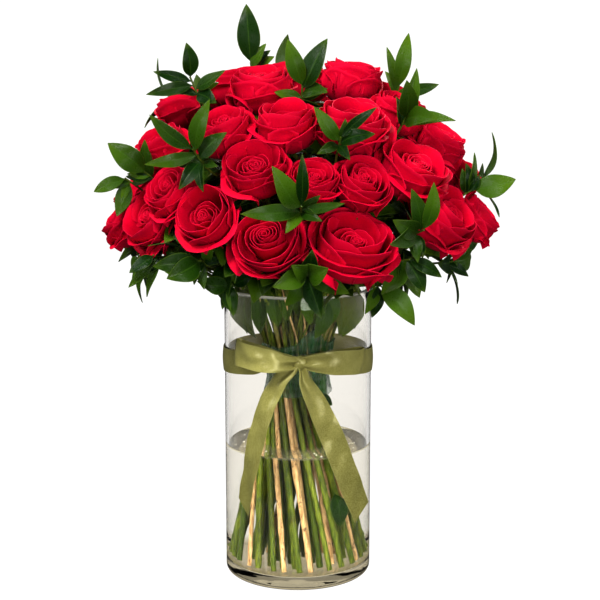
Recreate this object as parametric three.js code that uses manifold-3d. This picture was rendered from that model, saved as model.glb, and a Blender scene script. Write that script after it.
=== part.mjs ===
// Red roses and ruscus in a clear glass cylinder vase, tied with an olive satin ribbon.
// Millimetres, +Z up. The origin is the centre of the vase's foot, and the front is -Y.
// Every head, leafy twig and strip of ribbon is a closed body lofted through rings of points.
import * as THREE from 'three';
import { mergeVertices } from 'three/addons/utils/BufferGeometryUtils.js';
import Module from 'manifold-3d';

const wasm = await Module();
wasm.setup();

// ---- driving dimensions -------------------------------------------------------------------
const GAP = 0.3;                    // between neighbours that touch on the real object

const VASE_HEIGHT = 300;
const VASE_RADIUS = 75;
const VASE_WALL = 3.5;
const VASE_BASE = 13;               // thick cast foot
const VASE_HEEL = 7;                // rounding of the foot
const VASE_LIP = 1.5;               // rounding of the rim
const VASE_CORNER = 5;              // bevel where the wall meets the floor inside
const VASE_SIDES = 36;
const WATER_LEVEL = 138;

// The stems are pressed into one mass round the tie. Its waist is where the tie pulls.
const BUNDLE_BOTTOM = 188;
const WAIST_HEIGHT = 206;
const WAIST_RADIUS = 31;
const TAPE_BOTTOM = 191;
const TAPE_TOP = 241;
const TAPE_THICKNESS = 0.8;
const BUNDLE_TOP = 262;
const BUNDLE_SIDES = 14;

const STEM_RADIUS = 2.9;
const STEM_CLEARANCE = 0.45;        // round a stem that stands in the water
const STEM_FOOT_DEPTH = 4;          // how far a stem's hole in the water runs on below it
const RUSCUS_STEM_RADIUS = 2.3;
const NECK_RADIUS = 2.3;            // of a rose's stem just below its head
const NECK_LENGTH = 9;              // from the head to where that radius is reached
const CALYX_RADIUS = 6.5;
const STEM_FOOT_HEIGHT = VASE_BASE + 1.2;
const STEM_SLOT_HEIGHT = 228;
const STEM_BEND_RISE = 64;          // handles of the curve from the tie to the neck
const STEM_BEND_REACH = 42;
const STEM_BEND_FLARE = 8;
const STEM_BEND_SHARES = [0.35, 0.7, 1];
// The stems stand in rings, the outer heads in the outer ring: how far from the axis the
// heads of a ring start, and the ring's radius at the tie and at the cut feet.
const STEM_RINGS = [
  { heads: 165, slot: 26.5, foot: 52 },
  { heads: 110, slot: 17.5, foot: 35 },
  { heads: 0, slot: 7.5, foot: 16 },
];
const STEM_SPIRAL = 58;             // degrees that a stem turns from the tie to its foot
const FOOT_SPREAD = [0.96, 1.02];   // how unevenly the cut feet stand, as shares of the ring
const TWIG_RADIUS = 1.9;
const TWIG_REACH = 50;              // length of the straight end of a twig, between the heads
const TWIG_RISE = 8;                // the middle of a tip's leaves stands this far beyond it

const DOME_CENTRE = 372;            // the heads' faces lie on this flattened ball
const DOME_RADIUS = 182;
const DOME_HEIGHT = 148;

const RIBBON_WIDTH = 24;
const RIBBON_THICKNESS = 0.8;
const BAND_HEIGHT = 226;            // middle of the ribbon at the sides and back of the vase
const BAND_RISE = 10;               // it climbs to the knot at the front
const KNOT = { at: [2, -82.2, 237], halves: [7, 6.6, 8] };

const SEEDS = { feet: 77, petals: 701, leaves: 4021 };

// Each rose: azimuth (degrees from the front, + towards +X), distance from the axis and
// height of the middle of its open face, and the diameter of the head.
const ROSES = [
  // the ones that look forward
  [17, 182, 366, 75], [-9, 182, 366, 66], [-26.5, 188, 391, 58], [54, 184, 384, 65],
  [-44, 180, 414, 51], [-56.5, 182, 379, 56], [5, 169, 426, 47], [22, 170, 423, 48],
  [43, 170, 437, 64], [-14, 166, 433, 57], [84, 168, 428, 48], [-5, 127, 478, 60],
  [-31, 141, 475, 57], [25, 130, 480, 64], [-33, 67, 510, 63], [90, 58, 517, 62],
  [-87, 123, 493, 54], [-61, 158, 457, 53], [-99, 180, 396, 50], [176, 72, 512, 56],
  [-119, 82, 509, 55], [114, 105, 500, 52], [63, 115, 491, 52], [71, 155, 459, 53],
  [83, 192, 378, 50], [-146, 14, 516, 60],
  // the back of the dome
  [-165, 182, 366, 66], [165, 182, 368, 68], [-140, 182, 385, 61], [140, 182, 382, 62],
  [-115, 182, 369, 62], [112, 182, 372, 62], [-178, 169, 428, 60], [-152, 167, 432, 58],
  [155, 167, 432, 62], [130, 166, 435, 58], [-127, 164, 435, 58], [-105, 160, 443, 56],
  [170, 126, 479, 62], [-158, 126, 479, 60], [141, 125, 480, 58], [-126, 127, 478, 55],
  [104, 152, 459, 54], [-79, 186, 377, 54],
];

// The ruscus stands in the water on woody stems of its own: [azimuth, distance] as above.
const RUSCUS_STEMS = [[-150, 120], [-35, 120], [70, 120], [10, 120]];

// Each leafy tip: where its twig comes out between the heads (azimuth, distance, height),
// and its leaves. A leaf is [clock, lean, length, width]: its direction as on a clock face in
// degrees, its lean towards whoever looks, and its size.
const FRONT_SPRAYS = [
  { at: [-88, 46, 519], leaves: [[-4, 0, 58, 26], [32, 10, 28, 16]] },
  { at: [-59, 114, 497], leaves: [[-5, 15, 34, 18], [-76, 10, 38, 12], [-98, 15, 46, 14],
    [68, 15, 36, 18], [115, 40, 28, 18]] },
  { at: [12, 83, 508], leaves: [[-17, 10, 48, 20], [26, 12, 54, 26], [95, 35, 30, 20]] },
  { at: [85, 98, 503], leaves: [[-30, 10, 45, 12], [10, 0, 54, 18], [77, 0, 44, 15]] },
  { at: [47, 139, 479], leaves: [[10, 15, 44, 16], [-75, 25, 42, 22], [84, 10, 50, 16],
    [118, 35, 46, 24]] },
  { at: [-31, 169, 439], leaves: [[15, 15, 50, 18], [-50, 12, 50, 16], [-97, 20, 48, 14],
    [46, 20, 36, 18], [-140, 30, 34, 16]] },
  { at: [1, 186, 397], leaves: [[-33, 25, 50, 24], [1, 20, 50, 13], [-90, 20, 56, 18],
    [79, 20, 40, 11]] },
  { at: [14, 156, 454], leaves: [[-38, 20, 42, 18], [48, 15, 42, 11], [72, 25, 36, 16]] },
  { at: [-55, 178, 429], leaves: [[-51, 10, 48, 27], [-5, 20, 34, 13]] },
  { at: [-68, 182, 419], leaves: [[-160, 5, 46, 24], [-110, 0, 34, 16]] },
  { at: [68, 189, 415], leaves: [[76, 5, 44, 26], [5, 5, 40, 12]] },
  { at: [37, 182, 372], leaves: [[-12, 20, 42, 18], [10, 10, 46, 16], [-70, 30, 36, 22],
    [-110, 30, 38, 22]] },
  { at: [36, 168, 345], leaves: [[-143, 25, 40, 22], [148, 15, 34, 20], [117, 10, 34, 15]] },
  { at: [28, 158, 322], leaves: [[138, 10, 48, 26], [-170, 10, 30, 14]] },
  { at: [-32, 166, 345], leaves: [[-115, 30, 38, 26], [-95, 20, 42, 22], [178, 20, 26, 12]] },
  { at: [-50, 170, 345], leaves: [[-158, 0, 42, 12], [-125, 10, 28, 16], [-137, -5, 42, 12]] },
  { at: [-27, 138, 320], leaves: [[-80, 20, 30, 20], [172, 20, 28, 18]] },
  { at: [3, 160, 335], leaves: [[-60, 25, 30, 22], [-105, 30, 36, 22], [8, 12, 36, 18],
    [68, 28, 34, 24], [112, 15, 42, 22], [160, 15, 42, 22], [-145, 10, 34, 18]] },
];

// Leafy tips on the sides and back carry leaves by a rule, seen from their own side.
const BACK_SPRAYS = [
  [-167, 181, 413], [180, 187, 386], [171, 158, 453], [153, 185, 396], [125, 185, 396],
  [-126, 184, 399], [96, 184, 403], [-142, 148, 466], [142, 157, 456], [-106, 131, 481],
  [-174, 105, 498],
];
const BACK_LEAVES = { count: 3, length: 44, width: 21, lean: 25 };
// The collar hangs under the lowest heads all round the back, where no front tip shows.
const COLLAR = { from: 66, to: 294, count: 7, distance: 158, height: 333 };
const COLLAR_LEAVES = { count: 3, length: 42, width: 22, lean: 10 };
// Leaves that hang in the neck of the vase, inside the glass.
const NECK_AZIMUTHS = [-72, 28, 76, 150, -140];
const NECK_LEAF = { distance: 54, height: 296, length: 42, width: 20 };

const COLOURS = {
  glass: 0xe8f0ee, water: 0xdfe6e0, tape: 0x0c3a1e, ribbon: 0x8a8c42, green: 0x1f5a17,
  rose: 0xd0061f,
};

// ---- small helpers ------------------------------------------------------------------------
const vec = (x, y, z) => new THREE.Vector3(x, y, z);
const UP = vec(0, 0, 1);
const radians = THREE.MathUtils.degToRad;

function polar(azimuth, distance, height) {
  const angle = radians(azimuth);
  return vec(distance * Math.sin(angle), -distance * Math.cos(angle), height);
}

// A fixed stream of numbers from 0 to 1, so that every build is the same.
function seeded(seed) {
  let state = seed >>> 0;
  return () => {
    state = (Math.imul(state, 1664525) + 1013904223) >>> 0;
    return state / 4294967296;
  };
}

// The way that a head or tip at this place looks: half away from the tie, half straight
// out of the dome.
function outward(place) {
  const fromTie = place.clone().sub(vec(0, 0, WAIST_HEIGHT)).normalize();
  const fromDome = vec(
    place.x / DOME_RADIUS ** 2,
    place.y / DOME_RADIUS ** 2,
    (place.z - DOME_CENTRE) / DOME_HEIGHT ** 2,
  ).normalize();
  return fromTie.add(fromDome).normalize();
}

// A closed body through rings of points, each ring counter-clockwise seen from the end.
// A ring may be one point. The first and last rings are capped, unless the rings close. A
// flat section has its back in the second half of each ring, and both of its faces are
// split into triangles alike, so that a thin twisted body never crosses itself.
function loft(rings, { closes = false, flat = false } = {}) {
  const positions = [];
  const starts = [];
  for (const ring of rings) {
    starts.push(positions.length / 3);
    ring.forEach((p) => positions.push(p.x, p.y, p.z));
  }
  const triangles = [];
  const bands = closes ? rings.length : rings.length - 1;
  for (let k = 0; k < bands; k++) {
    const next = (k + 1) % rings.length;
    const low = rings[k].length;
    const high = rings[next].length;
    const lowSteps = low > 1 ? low : 0;
    const highSteps = high > 1 ? high : 0;
    let i = 0;
    let j = 0;
    while (i < lowSteps || j < highSteps) {
      const a = starts[k] + (i % low);
      const b = starts[next] + (j % high);
      const ahead = (j + 1) / high - (i + 1) / low;
      const lowFirst = flat && i >= low / 2 ? ahead > 0 : ahead >= 0;
      const takeLow = j >= highSteps || (i < lowSteps && lowFirst);
      if (takeLow) {
        i += 1;
        triangles.push(a, starts[k] + (i % low), b);
      } else {
        j += 1;
        triangles.push(a, starts[next] + (j % high), b);
      }
    }
  }
  if (!closes) {
    const end = starts[rings.length - 1];
    for (let i = 1; i < rings[0].length - 1; i++) triangles.push(0, i + 1, i);
    for (let i = 1; i < rings.at(-1).length - 1; i++) triangles.push(end, end + i, end + i + 1);
  }
  const geometry = new THREE.BufferGeometry();
  geometry.setAttribute('position', new THREE.Float32BufferAttribute(positions, 3));
  geometry.setIndex(triangles);
  return geometry;
}

function solidOf(source) {
  const geometry = source.clone();
  geometry.deleteAttribute('normal');
  geometry.deleteAttribute('uv');
  const merged = mergeVertices(geometry, 1e-4);
  return new wasm.Manifold(new wasm.Mesh({
    numProp: 3,
    vertProperties: new Float32Array(merged.attributes.position.array),
    triVerts: new Uint32Array(merged.index.array),
  }));
}

function geometryOf(solid) {
  const mesh = solid.getMesh();
  const geometry = new THREE.BufferGeometry();
  geometry.setAttribute('position', new THREE.BufferAttribute(mesh.vertProperties, 3));
  geometry.setIndex(new THREE.BufferAttribute(mesh.triVerts, 1));
  return geometry;
}

function fuse(geometries) {
  let solids = geometries.map(solidOf);
  while (solids.length > 1) {
    const pairs = [];
    for (let i = 0; i < solids.length; i += 2) {
      pairs.push(i + 1 < solids.length ? solids[i].add(solids[i + 1]) : solids[i]);
    }
    solids = pairs;
  }
  return solids[0];
}

// The largest body of a solid, without the scraps that cutting leaves.
function largest(solid) {
  return solid.decompose().sort((a, b) => b.volume() - a.volume())[0];
}

function lathe(profile, sides) {
  const geometry = new THREE.LatheGeometry(
    profile.map(([radius, height]) => new THREE.Vector2(radius, height)),
    sides,
  );
  return geometry.rotateX(Math.PI / 2);
}

// ---- vase and water -----------------------------------------------------------------------
function vaseGeometry() {
  const inner = VASE_RADIUS - VASE_WALL;
  return lathe([
    [0, 0],
    [VASE_RADIUS - VASE_HEEL, 0],
    [VASE_RADIUS - VASE_HEEL * 0.3, VASE_HEEL * 0.3],
    [VASE_RADIUS, VASE_HEEL],
    [VASE_RADIUS, VASE_HEIGHT - VASE_LIP],
    [VASE_RADIUS - VASE_WALL / 2, VASE_HEIGHT],
    [inner, VASE_HEIGHT - VASE_LIP],
    [inner, VASE_BASE + VASE_CORNER],
    [inner - VASE_CORNER, VASE_BASE],
    [0, VASE_BASE],
  ], VASE_SIDES);
}

function waterGeometry(routes) {
  const radius = VASE_RADIUS - VASE_WALL - GAP;
  const bottom = VASE_BASE + GAP;
  const body = solidOf(lathe([
    [0, bottom],
    [radius - VASE_CORNER, bottom],
    [radius, bottom + VASE_CORNER],
    [radius, WATER_LEVEL],
    [0, WATER_LEVEL],
  ], VASE_SIDES));
  const hole = STEM_RADIUS + STEM_CLEARANCE;
  const holes = fuse(routes.map((route) => lowerStemGeometry(route, hole, STEM_FOOT_DEPTH)));
  return geometryOf(largest(body.subtract(holes)));
}

// ---- stems --------------------------------------------------------------------------------
const BUNDLE_PROFILE = [
  [WAIST_RADIUS + 4, BUNDLE_BOTTOM],
  [WAIST_RADIUS, WAIST_HEIGHT],
  [WAIST_RADIUS + 4.5, TAPE_TOP],
  [WAIST_RADIUS + 10, BUNDLE_TOP],
];

function bundleRadius(height) {
  const k = BUNDLE_PROFILE.findIndex(([, z]) => z >= height);
  const [r0, z0] = BUNDLE_PROFILE[k - 1];
  const [r1, z1] = BUNDLE_PROFILE[k];
  return THREE.MathUtils.mapLinear(height, z0, z1, r0, r1);
}

function bundleGeometry() {
  return lathe([[0, BUNDLE_BOTTOM], ...BUNDLE_PROFILE, [0, BUNDLE_TOP]], BUNDLE_SIDES);
}

function tapeGeometry() {
  const heights = [TAPE_BOTTOM, WAIST_HEIGHT, TAPE_TOP];
  const inside = heights.map((z) => [bundleRadius(z) + GAP, z]);
  const outside = heights.map((z) => [bundleRadius(z) + GAP + TAPE_THICKNESS, z]).reverse();
  return lathe([...inside, ...outside, inside[0]].reverse(), BUNDLE_SIDES);
}

// Rings of a few points round a path, each ring square to it and turned to the azimuth of
// the place given.
function ringsAlong(points, radii, sides, place) {
  const level = vec(-place.y, place.x, 0).normalize();
  return points.map((point, k) => {
    const before = points[Math.max(k - 1, 0)];
    const after = points[Math.min(k + 1, points.length - 1)];
    const along = after.clone().sub(before).normalize();
    const across = level.clone().addScaledVector(along, -level.dot(along)).normalize();
    const third = along.clone().cross(across);
    return Array.from({ length: sides }, (_, i) => {
      const angle = (2 * Math.PI * (i + 0.5)) / sides;
      return point.clone()
        .addScaledVector(across, radii[k] * Math.cos(angle))
        .addScaledVector(third, radii[k] * Math.sin(angle));
    });
  });
}

// Where each stem is tied and stands. The stems of a ring are spread evenly round it, in
// the order of their heads, so that none crosses another below the tie.
function stemRoutes(heads) {
  const random = seeded(SEEDS.feet);
  const [least, most] = FOOT_SPREAD;
  const routes = [];
  STEM_RINGS.forEach(({ heads: from, slot, foot }, ring) => {
    const upTo = ring === 0 ? Infinity : STEM_RINGS[ring - 1].heads;
    const members = heads
      .map(([azimuth, distance], index) => ({ azimuth, distance, index }))
      .filter(({ distance }) => distance >= from && distance < upTo)
      .sort((a, b) => a.azimuth - b.azimuth);
    const step = 360 / members.length;
    const start = members.reduce((sum, { azimuth }, k) => sum + azimuth - step * k, 0) / members.length;
    members.forEach(({ index }, k) => {
      const azimuth = start + step * k;
      routes[index] = {
        slot: polar(azimuth, slot, STEM_SLOT_HEIGHT),
        foot: polar(
          azimuth + STEM_SPIRAL,
          foot * THREE.MathUtils.lerp(least, most, random()),
          STEM_FOOT_HEIGHT,
        ),
      };
    });
  });
  return routes;
}

// A straight stem from the tie to a point this far below its foot.
function lowerStemGeometry({ foot, slot }, radius, below) {
  const down = foot.clone().sub(slot).normalize();
  const start = foot.clone().addScaledVector(down, below);
  return loft(ringsAlong([start, slot], [radius, radius], 4, slot));
}

// The bend of a rose's stem from the tie to its neck, where it looks outward.
function stemBend(rose, { slot }) {
  const flare = vec(slot.x, slot.y, 0).setLength(STEM_BEND_FLARE);
  const rise = slot.clone().add(flare).addScaledVector(UP, STEM_BEND_RISE);
  const neck = rose.base.clone().addScaledVector(rose.axis, -NECK_LENGTH * rose.scale);
  const handle = neck.clone().addScaledVector(rose.axis, -STEM_BEND_REACH);
  const curve = new THREE.CubicBezierCurve3(slot, rise, handle, neck);
  return STEM_BEND_SHARES.map((t) => curve.getPoint(t));
}

function roseStemGeometry(rose, route) {
  const { foot, slot } = route;
  const lower = ringsAlong([foot, slot], [STEM_RADIUS, STEM_RADIUS], 4, slot);
  const bend = stemBend(rose, route);
  const upper = ringsAlong(bend, bend.map(() => NECK_RADIUS), 3, slot);
  const neck = bend.at(-1);
  const calyx = rose.base.clone().addScaledVector(rose.axis, -GAP);
  const last = ringsAlong([neck, calyx], [NECK_RADIUS, CALYX_RADIUS * rose.scale], 3, slot)[1];
  return loft([...lower, ...upper, last]);
}

// ---- heads --------------------------------------------------------------------------------
const HEAD_SIZE = 66;               // the rings below are drawn for a head of this diameter
const HEAD_DEPTH = 42;              // from the calyx to the middle of the open face
const PETALS = 5;                   // in each layer
const PETAL_SPAN = 0.86;            // share of its fifth of the ring that a rim point reaches
const PETAL_UNEVEN = 1.6;           // how far petals stand above or below each other

// From the calyx out over each layer's rim and down into the valley behind it:
// [radius, height, points to a petal, turn of the layer, how far each petal's start tucks in]
const HEAD_RINGS = [
  [7, 0, 1, 0, 0],
  [29.5, 21, 2, 0, 0.05],
  [36, 34, 3, 4, 0.12],
  [31.5, 37.5, 2, 8, 0.1],
  [22.5, 30, 1, 40, 0],
  [22.5, 40.5, 2, 36, 0.16],
  [13, 33, 1, 66, 0],
  [11, 43, 1, 76, 0],
  [4.5, 37, 1, 100, 0],
];
const HEAD_TIP = 41;

function makeRose([azimuth, distance, height, diameter], index) {
  const random = seeded(SEEDS.petals + index);
  const face = polar(azimuth, distance, height);
  const axis = outward(face);
  const scale = diameter / HEAD_SIZE;
  const base = face.clone().addScaledVector(axis, -HEAD_DEPTH * scale);
  return { axis, scale, base, random };
}

function roseGeometry({ base, axis, scale, random }) {
  const side = axis.clone().cross(UP).normalize();
  const other = axis.clone().cross(side);
  const phase = (random() * 360) / PETALS;
  const lifts = Array.from({ length: PETALS }, () => PETAL_UNEVEN * (random() - 0.5));
  const place = (radius, height, angle) => base.clone()
    .addScaledVector(axis, scale * height)
    .addScaledVector(side, scale * radius * Math.cos(radians(angle)))
    .addScaledVector(other, scale * radius * Math.sin(radians(angle)));
  const rings = HEAD_RINGS.map(([radius, height, points, turn, tuck]) => {
    const ring = [];
    for (let petal = 0; petal < PETALS; petal++) {
      for (let k = 0; k < points; k++) {
        const along = points > 1 ? k / (points - 1) : 0;
        const angle = phase + turn + (petal + PETAL_SPAN * along) * (360 / PETALS);
        const lift = height > 0 ? lifts[petal] : 0;
        ring.push(place(radius * (1 - tuck * (1 - along)), height + lift, angle));
      }
    }
    return ring;
  });
  return loft([...rings, [place(0, HEAD_TIP, 0)]]);
}

// The outline of a head in section, for keeping leaves clear: [radius, height].
const HEAD_OUTLINE = [[7, 0], [30.5, 20], [36.5, 34.5], [30, 41.5], [0, 44.5]];
const HEAD_FAR = 70;                // no point of a head is this far from its calyx

function headClearance(point, roses) {
  let nearest = Infinity;
  for (const { base, axis, scale } of roses) {
    const offset = point.clone().sub(base).divideScalar(scale);
    if (offset.length() * scale > HEAD_FAR + nearest) continue;
    const height = offset.dot(axis);
    const radius = offset.addScaledVector(axis, -height).length();
    let inside = height > 0;
    let distance = Infinity;
    for (let k = 0; k < HEAD_OUTLINE.length - 1; k++) {
      const [r0, z0] = HEAD_OUTLINE[k];
      const [r1, z1] = HEAD_OUTLINE[k + 1];
      const t = THREE.MathUtils.clamp(
        ((radius - r0) * (r1 - r0) + (height - z0) * (z1 - z0)) / ((r1 - r0) ** 2 + (z1 - z0) ** 2),
        0,
        1,
      );
      distance = Math.min(distance, Math.hypot(radius - r0 - t * (r1 - r0), height - z0 - t * (z1 - z0)));
      if ((r1 - r0) * (height - z0) - (z1 - z0) * (radius - r0) < 0) inside = false;
    }
    nearest = Math.min(nearest, (inside ? -distance : distance) * scale);
  }
  return nearest;
}

// ---- leaves -------------------------------------------------------------------------------
const LEAF_THICKNESS = 1.3;
const LEAF_ARCH = 0.05;             // rise of the middle of a leaf, by its length
const PETIOLE = { half: 0.5, thickness: 0.9 };
const LEAF_CLEARANCE = 1.5;         // least distance from a leaf to a head
const LEAF_SPACING = 4;             // between leaves along the end of a twig
const LEAF_LEANS = { most: 3, step: 0.15 };
// Half a leaf's outline: [share of its length, share of its width from the midrib]. The
// widest place and the one before the taper are where the solid has its corners.
const LEAF_WIDEST = [0.34, 0.5];
const LEAF_TAPER = [0.68, 0.36];
const LEAF_OUTLINE = [[0.17, 0.26], LEAF_WIDEST, [0.51, 0.44], LEAF_TAPER, [0.84, 0.18], [1, 0]];

function leafGeometry(root, direction, faces, length, width) {
  const face = faces.clone().addScaledVector(direction, -faces.dot(direction)).normalize();
  const side = face.clone().cross(direction);
  const section = (along, half, thickness, arch) => {
    const centre = root.clone().addScaledVector(direction, along).addScaledVector(face, arch);
    return [
      centre.clone().addScaledVector(side, half),
      centre.clone().addScaledVector(face, thickness / 2),
      centre.clone().addScaledVector(side, -half),
      centre.clone().addScaledVector(face, -thickness / 2),
    ];
  };
  const blade = ([along, half]) => (
    section(length * along, width * half, LEAF_THICKNESS, length * LEAF_ARCH)
  );
  const petiole = section(0, PETIOLE.half, PETIOLE.thickness, 0).slice(0, 3);
  const tip = root.clone().addScaledVector(direction, length);
  return loft([petiole, blade(LEAF_WIDEST), blade(LEAF_TAPER).slice(0, 3), [tip]]);
}

// A leaf leans further outward, step by step, until all of it clears the heads from any of
// the places on the twig where it may root.
function leanClear(roots, wanted, out, faces, length, width, roses) {
  let direction = wanted;
  for (let lean = 0; lean <= LEAF_LEANS.most; lean += LEAF_LEANS.step) {
    direction = wanted.clone().addScaledVector(out, lean).normalize();
    const side = direction.clone().cross(faces).normalize();
    const clear = roots.every((root) => LEAF_OUTLINE.every(
      ([along, half]) => [-half, 0, half].every((across) => {
        const spot = root.clone()
          .addScaledVector(direction, along * length)
          .addScaledVector(side, across * width);
        return headClearance(spot, roses) > LEAF_CLEARANCE;
      }),
    ));
    if (clear) return direction;
  }
  return direction;
}

// One leafy tip: its twig from where it parts from the nearest stem, and its leaves round
// the end of the twig.
function sprayGeometries({ at, leaves, seenFrom = 0 }, roses, bends) {
  const end = polar(...at);
  const out = outward(end);
  const reach = Math.min(TWIG_REACH, 0.5 * Math.hypot(end.x, end.y));
  const inner = end.clone().addScaledVector(out, -reach);
  const parting = bends.flat().reduce((best, point) => (
    point.distanceTo(inner) < best.distanceTo(inner) ? point : best
  ));
  const spread = LEAF_SPACING * (leaves.length - 1);
  const lowest = end.clone().addScaledVector(out, TWIG_RISE - spread / 2);
  const highest = end.clone().addScaledVector(out, TWIG_RISE + spread / 2);
  const twig = [parting, inner, highest.clone().addScaledVector(out, 1)];
  const parts = [loft(ringsAlong(twig, twig.map(() => TWIG_RADIUS), 3, end))];
  const towards = polar(seenFrom, 1, 0);
  const right = polar(seenFrom + 90, 1, 0);
  const faces = towards.clone().addScaledVector(out, 0.5).normalize();
  const grown = leaves.map(([clock, lean, length, width]) => {
    const wanted = right.clone().multiplyScalar(Math.sin(radians(clock)))
      .addScaledVector(UP, Math.cos(radians(clock)))
      .multiplyScalar(Math.cos(radians(lean)))
      .addScaledVector(towards, Math.sin(radians(lean)));
    const direction = leanClear([lowest, highest], wanted, out, faces, length, width, roses);
    return { direction, length, width };
  });
  // the flattest leaf sits lowest on the twig, so that the leaves of a tip don't cross
  grown.sort((a, b) => a.direction.dot(out) - b.direction.dot(out));
  grown.forEach(({ direction, length, width }, k) => {
    const root = lowest.clone().addScaledVector(out, LEAF_SPACING * k);
    parts.push(leafGeometry(root, direction, faces, length, width));
  });
  return parts;
}

function ruleLeaves({ count, length, width, lean }, from, to, random) {
  return Array.from({ length: count }, (_, k) => [
    from + ((to - from) * (k + 0.3 + 0.4 * random())) / count,
    lean + 15 * (random() - 0.5),
    length * (0.8 + 0.4 * random()),
    width * (0.85 + 0.3 * random()),
  ]);
}

function allSprays() {
  const random = seeded(SEEDS.leaves);
  const back = BACK_SPRAYS.map((at) => ({
    at, seenFrom: at[0], leaves: ruleLeaves(BACK_LEAVES, -180, 180, random),
  }));
  const collar = Array.from({ length: COLLAR.count }, (_, k) => {
    const azimuth = COLLAR.from + ((COLLAR.to - COLLAR.from) * k) / (COLLAR.count - 1);
    const leaves = ruleLeaves(COLLAR_LEAVES, 60, 300, random);
    return { at: [azimuth, COLLAR.distance, COLLAR.height], seenFrom: azimuth, leaves };
  });
  const neck = NECK_AZIMUTHS.map((azimuth, k) => ({
    at: [azimuth, NECK_LEAF.distance, NECK_LEAF.height],
    seenFrom: azimuth,
    leaves: [[165 + 30 * (k % 2), 2, NECK_LEAF.length, NECK_LEAF.width]],
  }));
  return [...FRONT_SPRAYS, ...back, ...collar, ...neck];
}

function greeneryGeometry(roses, routes) {
  const parts = [bundleGeometry()];
  roses.forEach((rose, index) => parts.push(roseStemGeometry(rose, routes[index])));
  routes.slice(roses.length).forEach((route) => {
    parts.push(lowerStemGeometry(route, RUSCUS_STEM_RADIUS, 0));
  });
  const bends = roses.map((rose, index) => stemBend(rose, routes[index]));
  allSprays().forEach((spray) => parts.push(...sprayGeometries(spray, roses, bends)));
  return geometryOf(largest(fuse(parts)));
}

// ---- ribbon -------------------------------------------------------------------------------
// A strip through stations { at, across, width }, across being the way its width runs.
function stripGeometry(stations, closes = false) {
  const count = stations.length;
  const rings = stations.map(({ at, across, width }, k) => {
    const before = stations[closes ? (k + count - 1) % count : Math.max(k - 1, 0)].at;
    const after = stations[closes ? (k + 1) % count : Math.min(k + 1, count - 1)].at;
    const along = after.clone().sub(before).normalize();
    const wide = across.clone().addScaledVector(along, -across.dot(along)).normalize();
    const thick = along.clone().cross(wide).multiplyScalar(RIBBON_THICKNESS / 2);
    wide.multiplyScalar(width / 2);
    return [
      at.clone().add(wide).add(thick),
      at.clone().sub(wide).add(thick),
      at.clone().sub(wide).sub(thick),
      at.clone().add(wide).sub(thick),
    ];
  });
  return loft(rings, { closes, flat: true });
}

function bandGeometry() {
  const radius = VASE_RADIUS + GAP + RIBBON_THICKNESS;
  const stations = Array.from({ length: VASE_SIDES }, (_, k) => {
    const azimuth = (360 * k) / VASE_SIDES;
    const rise = BAND_RISE * Math.max(0, Math.cos(radians(azimuth))) ** 2;
    return { at: polar(azimuth, radius, BAND_HEIGHT + rise), across: UP, width: RIBBON_WIDTH };
  });
  return stripGeometry(stations, true);
}

// [x, y, height of the middle, width] round each loop of the bow, from the knot and back.
const LEFT_LOOP = [
  [0, -85, 237, 11], [-12, -90, 238, 15], [-26, -93, 241, 22], [-44, -89, 244, 24],
  [-57, -78, 246, 25], [-60.5, -69, 246, 25], [-55, -66, 245, 24], [-40, -75, 242, 24],
  [-22, -81, 239, 20], [0, -81, 237, 11],
];
const RIGHT_LOOP = [
  [4, -85, 237, 11], [16, -89, 238, 18], [32, -91, 239, 23], [50, -84, 238, 24],
  [63, -72, 236.5, 24], [66, -64, 236.5, 24], [60, -62, 236.5, 24], [44, -72, 237, 24],
  [24, -80, 237, 20], [4, -81, 237, 11],
];
// [x, y, height, width, turn of the face from the front in degrees] down each tail.
const LEFT_TAIL = [
  [-1, -83, 236, 9, 0], [-8, -85, 230, 14, -10], [-17, -85, 220, 17, -25],
  [-29, -83, 197, 22, -45], [-38, -81, 170, 24, -45], [-45, -78, 135, 24, -45],
  [-57, -73, 84, 24, -40],
];
const RIGHT_TAIL = [
  [4, -83, 235, 9, 0], [6, -86, 228, 11, 20], [8, -86, 217, 16, 25], [17, -84, 199, 22, 15],
  [34, -80, 161, 24, 10], [46, -76, 129, 24, 15], [62, -70, 86, 24, 35],
];

function loopStations(loop) {
  return loop.map(([x, y, z, width]) => ({ at: vec(x, y, z), across: UP, width }));
}

function tailStations(tail) {
  return tail.map(([x, y, z, width, turn]) => ({
    at: vec(x, y, z),
    across: vec(-Math.cos(radians(turn)), -Math.sin(radians(turn)), 0),
    width,
  }));
}

function ribbonGeometry() {
  const knot = new THREE.SphereGeometry(1, 8, 6).scale(...KNOT.halves).translate(...KNOT.at);
  return geometryOf(largest(fuse([
    bandGeometry(),
    stripGeometry(loopStations(LEFT_LOOP)),
    stripGeometry(loopStations(RIGHT_LOOP)),
    stripGeometry(tailStations(LEFT_TAIL)),
    stripGeometry(tailStations(RIGHT_TAIL)),
    knot,
  ])));
}

// ---- the object ---------------------------------------------------------------------------
const bouquet = new THREE.Group();

function addPiece(name, geometry, colour, roughness) {
  const material = new THREE.MeshStandardMaterial({ color: colour, roughness, metalness: 0 });
  const mesh = new THREE.Mesh(geometry, material);
  mesh.name = name;
  bouquet.add(mesh);
}

const roses = ROSES.map(makeRose);
const routes = stemRoutes([...ROSES, ...RUSCUS_STEMS]);

addPiece('vase', vaseGeometry(), COLOURS.glass, 0.05);
addPiece('water', waterGeometry(routes), COLOURS.water, 0.05);
addPiece('stems_and_greenery', greeneryGeometry(roses, routes), COLOURS.green, 0.5);
addPiece('binding_tape', tapeGeometry(), COLOURS.tape, 0.25);
addPiece('ribbon', ribbonGeometry(), COLOURS.ribbon, 0.35);
roses.forEach((rose, index) => {
  const name = `rose_${String(index + 1).padStart(2, '0')}`;
  addPiece(name, roseGeometry(rose), COLOURS.rose, 0.7);
});

export default bouquet;
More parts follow.
